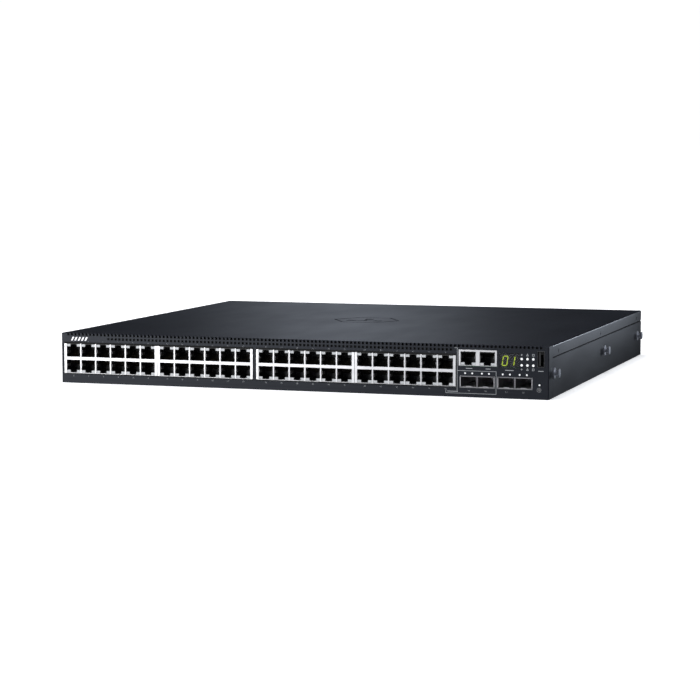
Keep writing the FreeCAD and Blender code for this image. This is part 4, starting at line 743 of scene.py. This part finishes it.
def sun(name, direction, strength, spread):
    """A broad directional light that comes from a direction."""
    data = bpy.data.lights.new(name, "SUN")
    data.energy = strength
    data.angle = math.radians(spread)
    made = bpy.data.objects.new(name, data)
    made.rotation_euler = Vector(direction).to_track_quat("Z", "Y").to_euler()
    bpy.context.scene.collection.objects.link(made)
    return made


def studio():
    """The room: white where it shows. As a source of light it is bright overhead and in front, dim behind,
    with one tall pale panel behind the object that lies along the lid as a soft band. Below the horizon at
    the back it is grey, as a pale floor is, so that the rear face has something to show."""
    world = bpy.data.worlds.new("studio")
    bpy.context.scene.world = world
    world.use_nodes = True
    tree = world.node_tree

    def add(kind, **settings):
        node = tree.nodes.new(kind)
        for key, value in settings.items():
            setattr(node, key, value)
        return node

    def combine(operation, first, second):
        node = add("ShaderNodeMath", operation=operation)
        for socket, value in zip(node.inputs, (first, second)):
            if isinstance(value, float):
                socket.default_value = value
            else:
                tree.links.new(value, socket)
        return node.outputs["Value"]

    def rise(value, start, end, amount=1.0):
        """Climbs smoothly from 0 to amount as value goes from start to end."""
        node = add("ShaderNodeMapRange", interpolation_type="SMOOTHSTEP")
        node.inputs["From Min"].default_value = start
        node.inputs["From Max"].default_value = end
        node.inputs["To Max"].default_value = amount
        tree.links.new(value, node.inputs["Value"])
        return node.outputs["Result"]

    direction = add("ShaderNodeSeparateXYZ")
    tree.links.new(add("ShaderNodeTexCoord").outputs["Generated"], direction.inputs["Vector"])
    x, y, z = (direction.outputs[axis] for axis in "XYZ")
    overhead = rise(z, 0.45, 0.95, 0.60)
    front = rise(combine("MULTIPLY", y, -1.0), 0.15, 0.75, 0.20)
    across = combine("ABSOLUTE", combine("ADD", x, combine("MULTIPLY", y, 0.325)), 0.0)
    inside = combine("SUBTRACT", 1.0, rise(across, 0.0, 0.082))
    panel = combine("MULTIPLY", inside, rise(y, 0.4, 0.7, 0.60))
    ground = combine("MULTIPLY", rise(combine("MULTIPLY", z, -1.0), 0.10, 0.42, 0.32), rise(y, -0.2, 0.2))
    behind = combine("ADD", panel, ground)
    total = combine("ADD", combine("ADD", overhead, 0.009), combine("ADD", front, behind))

    shown, lit = tree.nodes["Background"], add("ShaderNodeBackground")
    shown.inputs["Color"].default_value = (1, 1, 1, 1)
    shown.inputs["Strength"].default_value = 1.02
    lit.inputs["Color"].default_value = (0.80, 0.87, 1, 1)
    tree.links.new(total, lit.inputs["Strength"])
    mix = add("ShaderNodeMixShader")
    tree.links.new(add("ShaderNodeLightPath").outputs["Is Camera Ray"], mix.inputs["Fac"])
    tree.links.new(lit.outputs["Background"], mix.inputs[1])
    tree.links.new(shown.outputs["Background"], mix.inputs[2])
    tree.links.new(mix.outputs["Shader"], tree.nodes["World Output"].inputs["Surface"])


def light():
    """Soft studio light: the room, a broad light overhead, a key at the front left, a fill at the right."""
    bpy.context.scene.view_settings.view_transform = "Standard"
    studio()
    overhead = sun("overhead", (-0.35, 0.10, 1.0), 3.0, 60)
    overhead.visible_glossy = False
    lamp("key", (-0.95, -1.75, 0.25), (-0.15, -0.2, 0.02), (0.95, 0.45), 25)
    fill = lamp("side_fill", (0.50, 0.66, 0.06), (0.22, -0.2, 0.02), (0.2, 0.1), 0.019, spread=20)
    fill.data.color = (0.80, 0.88, 1.0)


def camera():
    """The viewing angle: a little to the right of the front and just above it, through a long lens."""
    azimuth, elevation = math.radians(17.95), math.radians(5.42)
    distance, focal = 2.05028, 113.66
    shift_x, shift_z = -16.72 * MM, -5.35 * MM
    level = math.cos(elevation)
    back = Vector((math.sin(azimuth) * level, -math.cos(azimuth) * level, math.sin(elevation)))
    right = Vector((0, 0, 1)).cross(back).normalized()
    up = back.cross(right)
    aim = Vector((0, FACE + 0.2, 0.022)) + right * shift_x + up * shift_z
    data = bpy.data.cameras.new("camera")
    data.lens = focal
    data.sensor_width = 36.0
    data.clip_end = 200
    made = bpy.data.objects.new("camera", data)
    turn = Matrix((right, up, back)).transposed().to_4x4()
    made.matrix_world = Matrix.Translation(aim + back * distance) @ turn
    bpy.context.scene.collection.objects.link(made)
    bpy.context.scene.camera = made


camera()
stage()
light()
dress_nodes()
port_numbers()
makers_mark()
print_lines()
lamp_icons()
display_digits()
spring_tabs()
cage_fingers()
cage_rims()
port_gaskets()
vent_filter()
seam_strips()
rear_screws()
earth_stud()
supply_fittings()
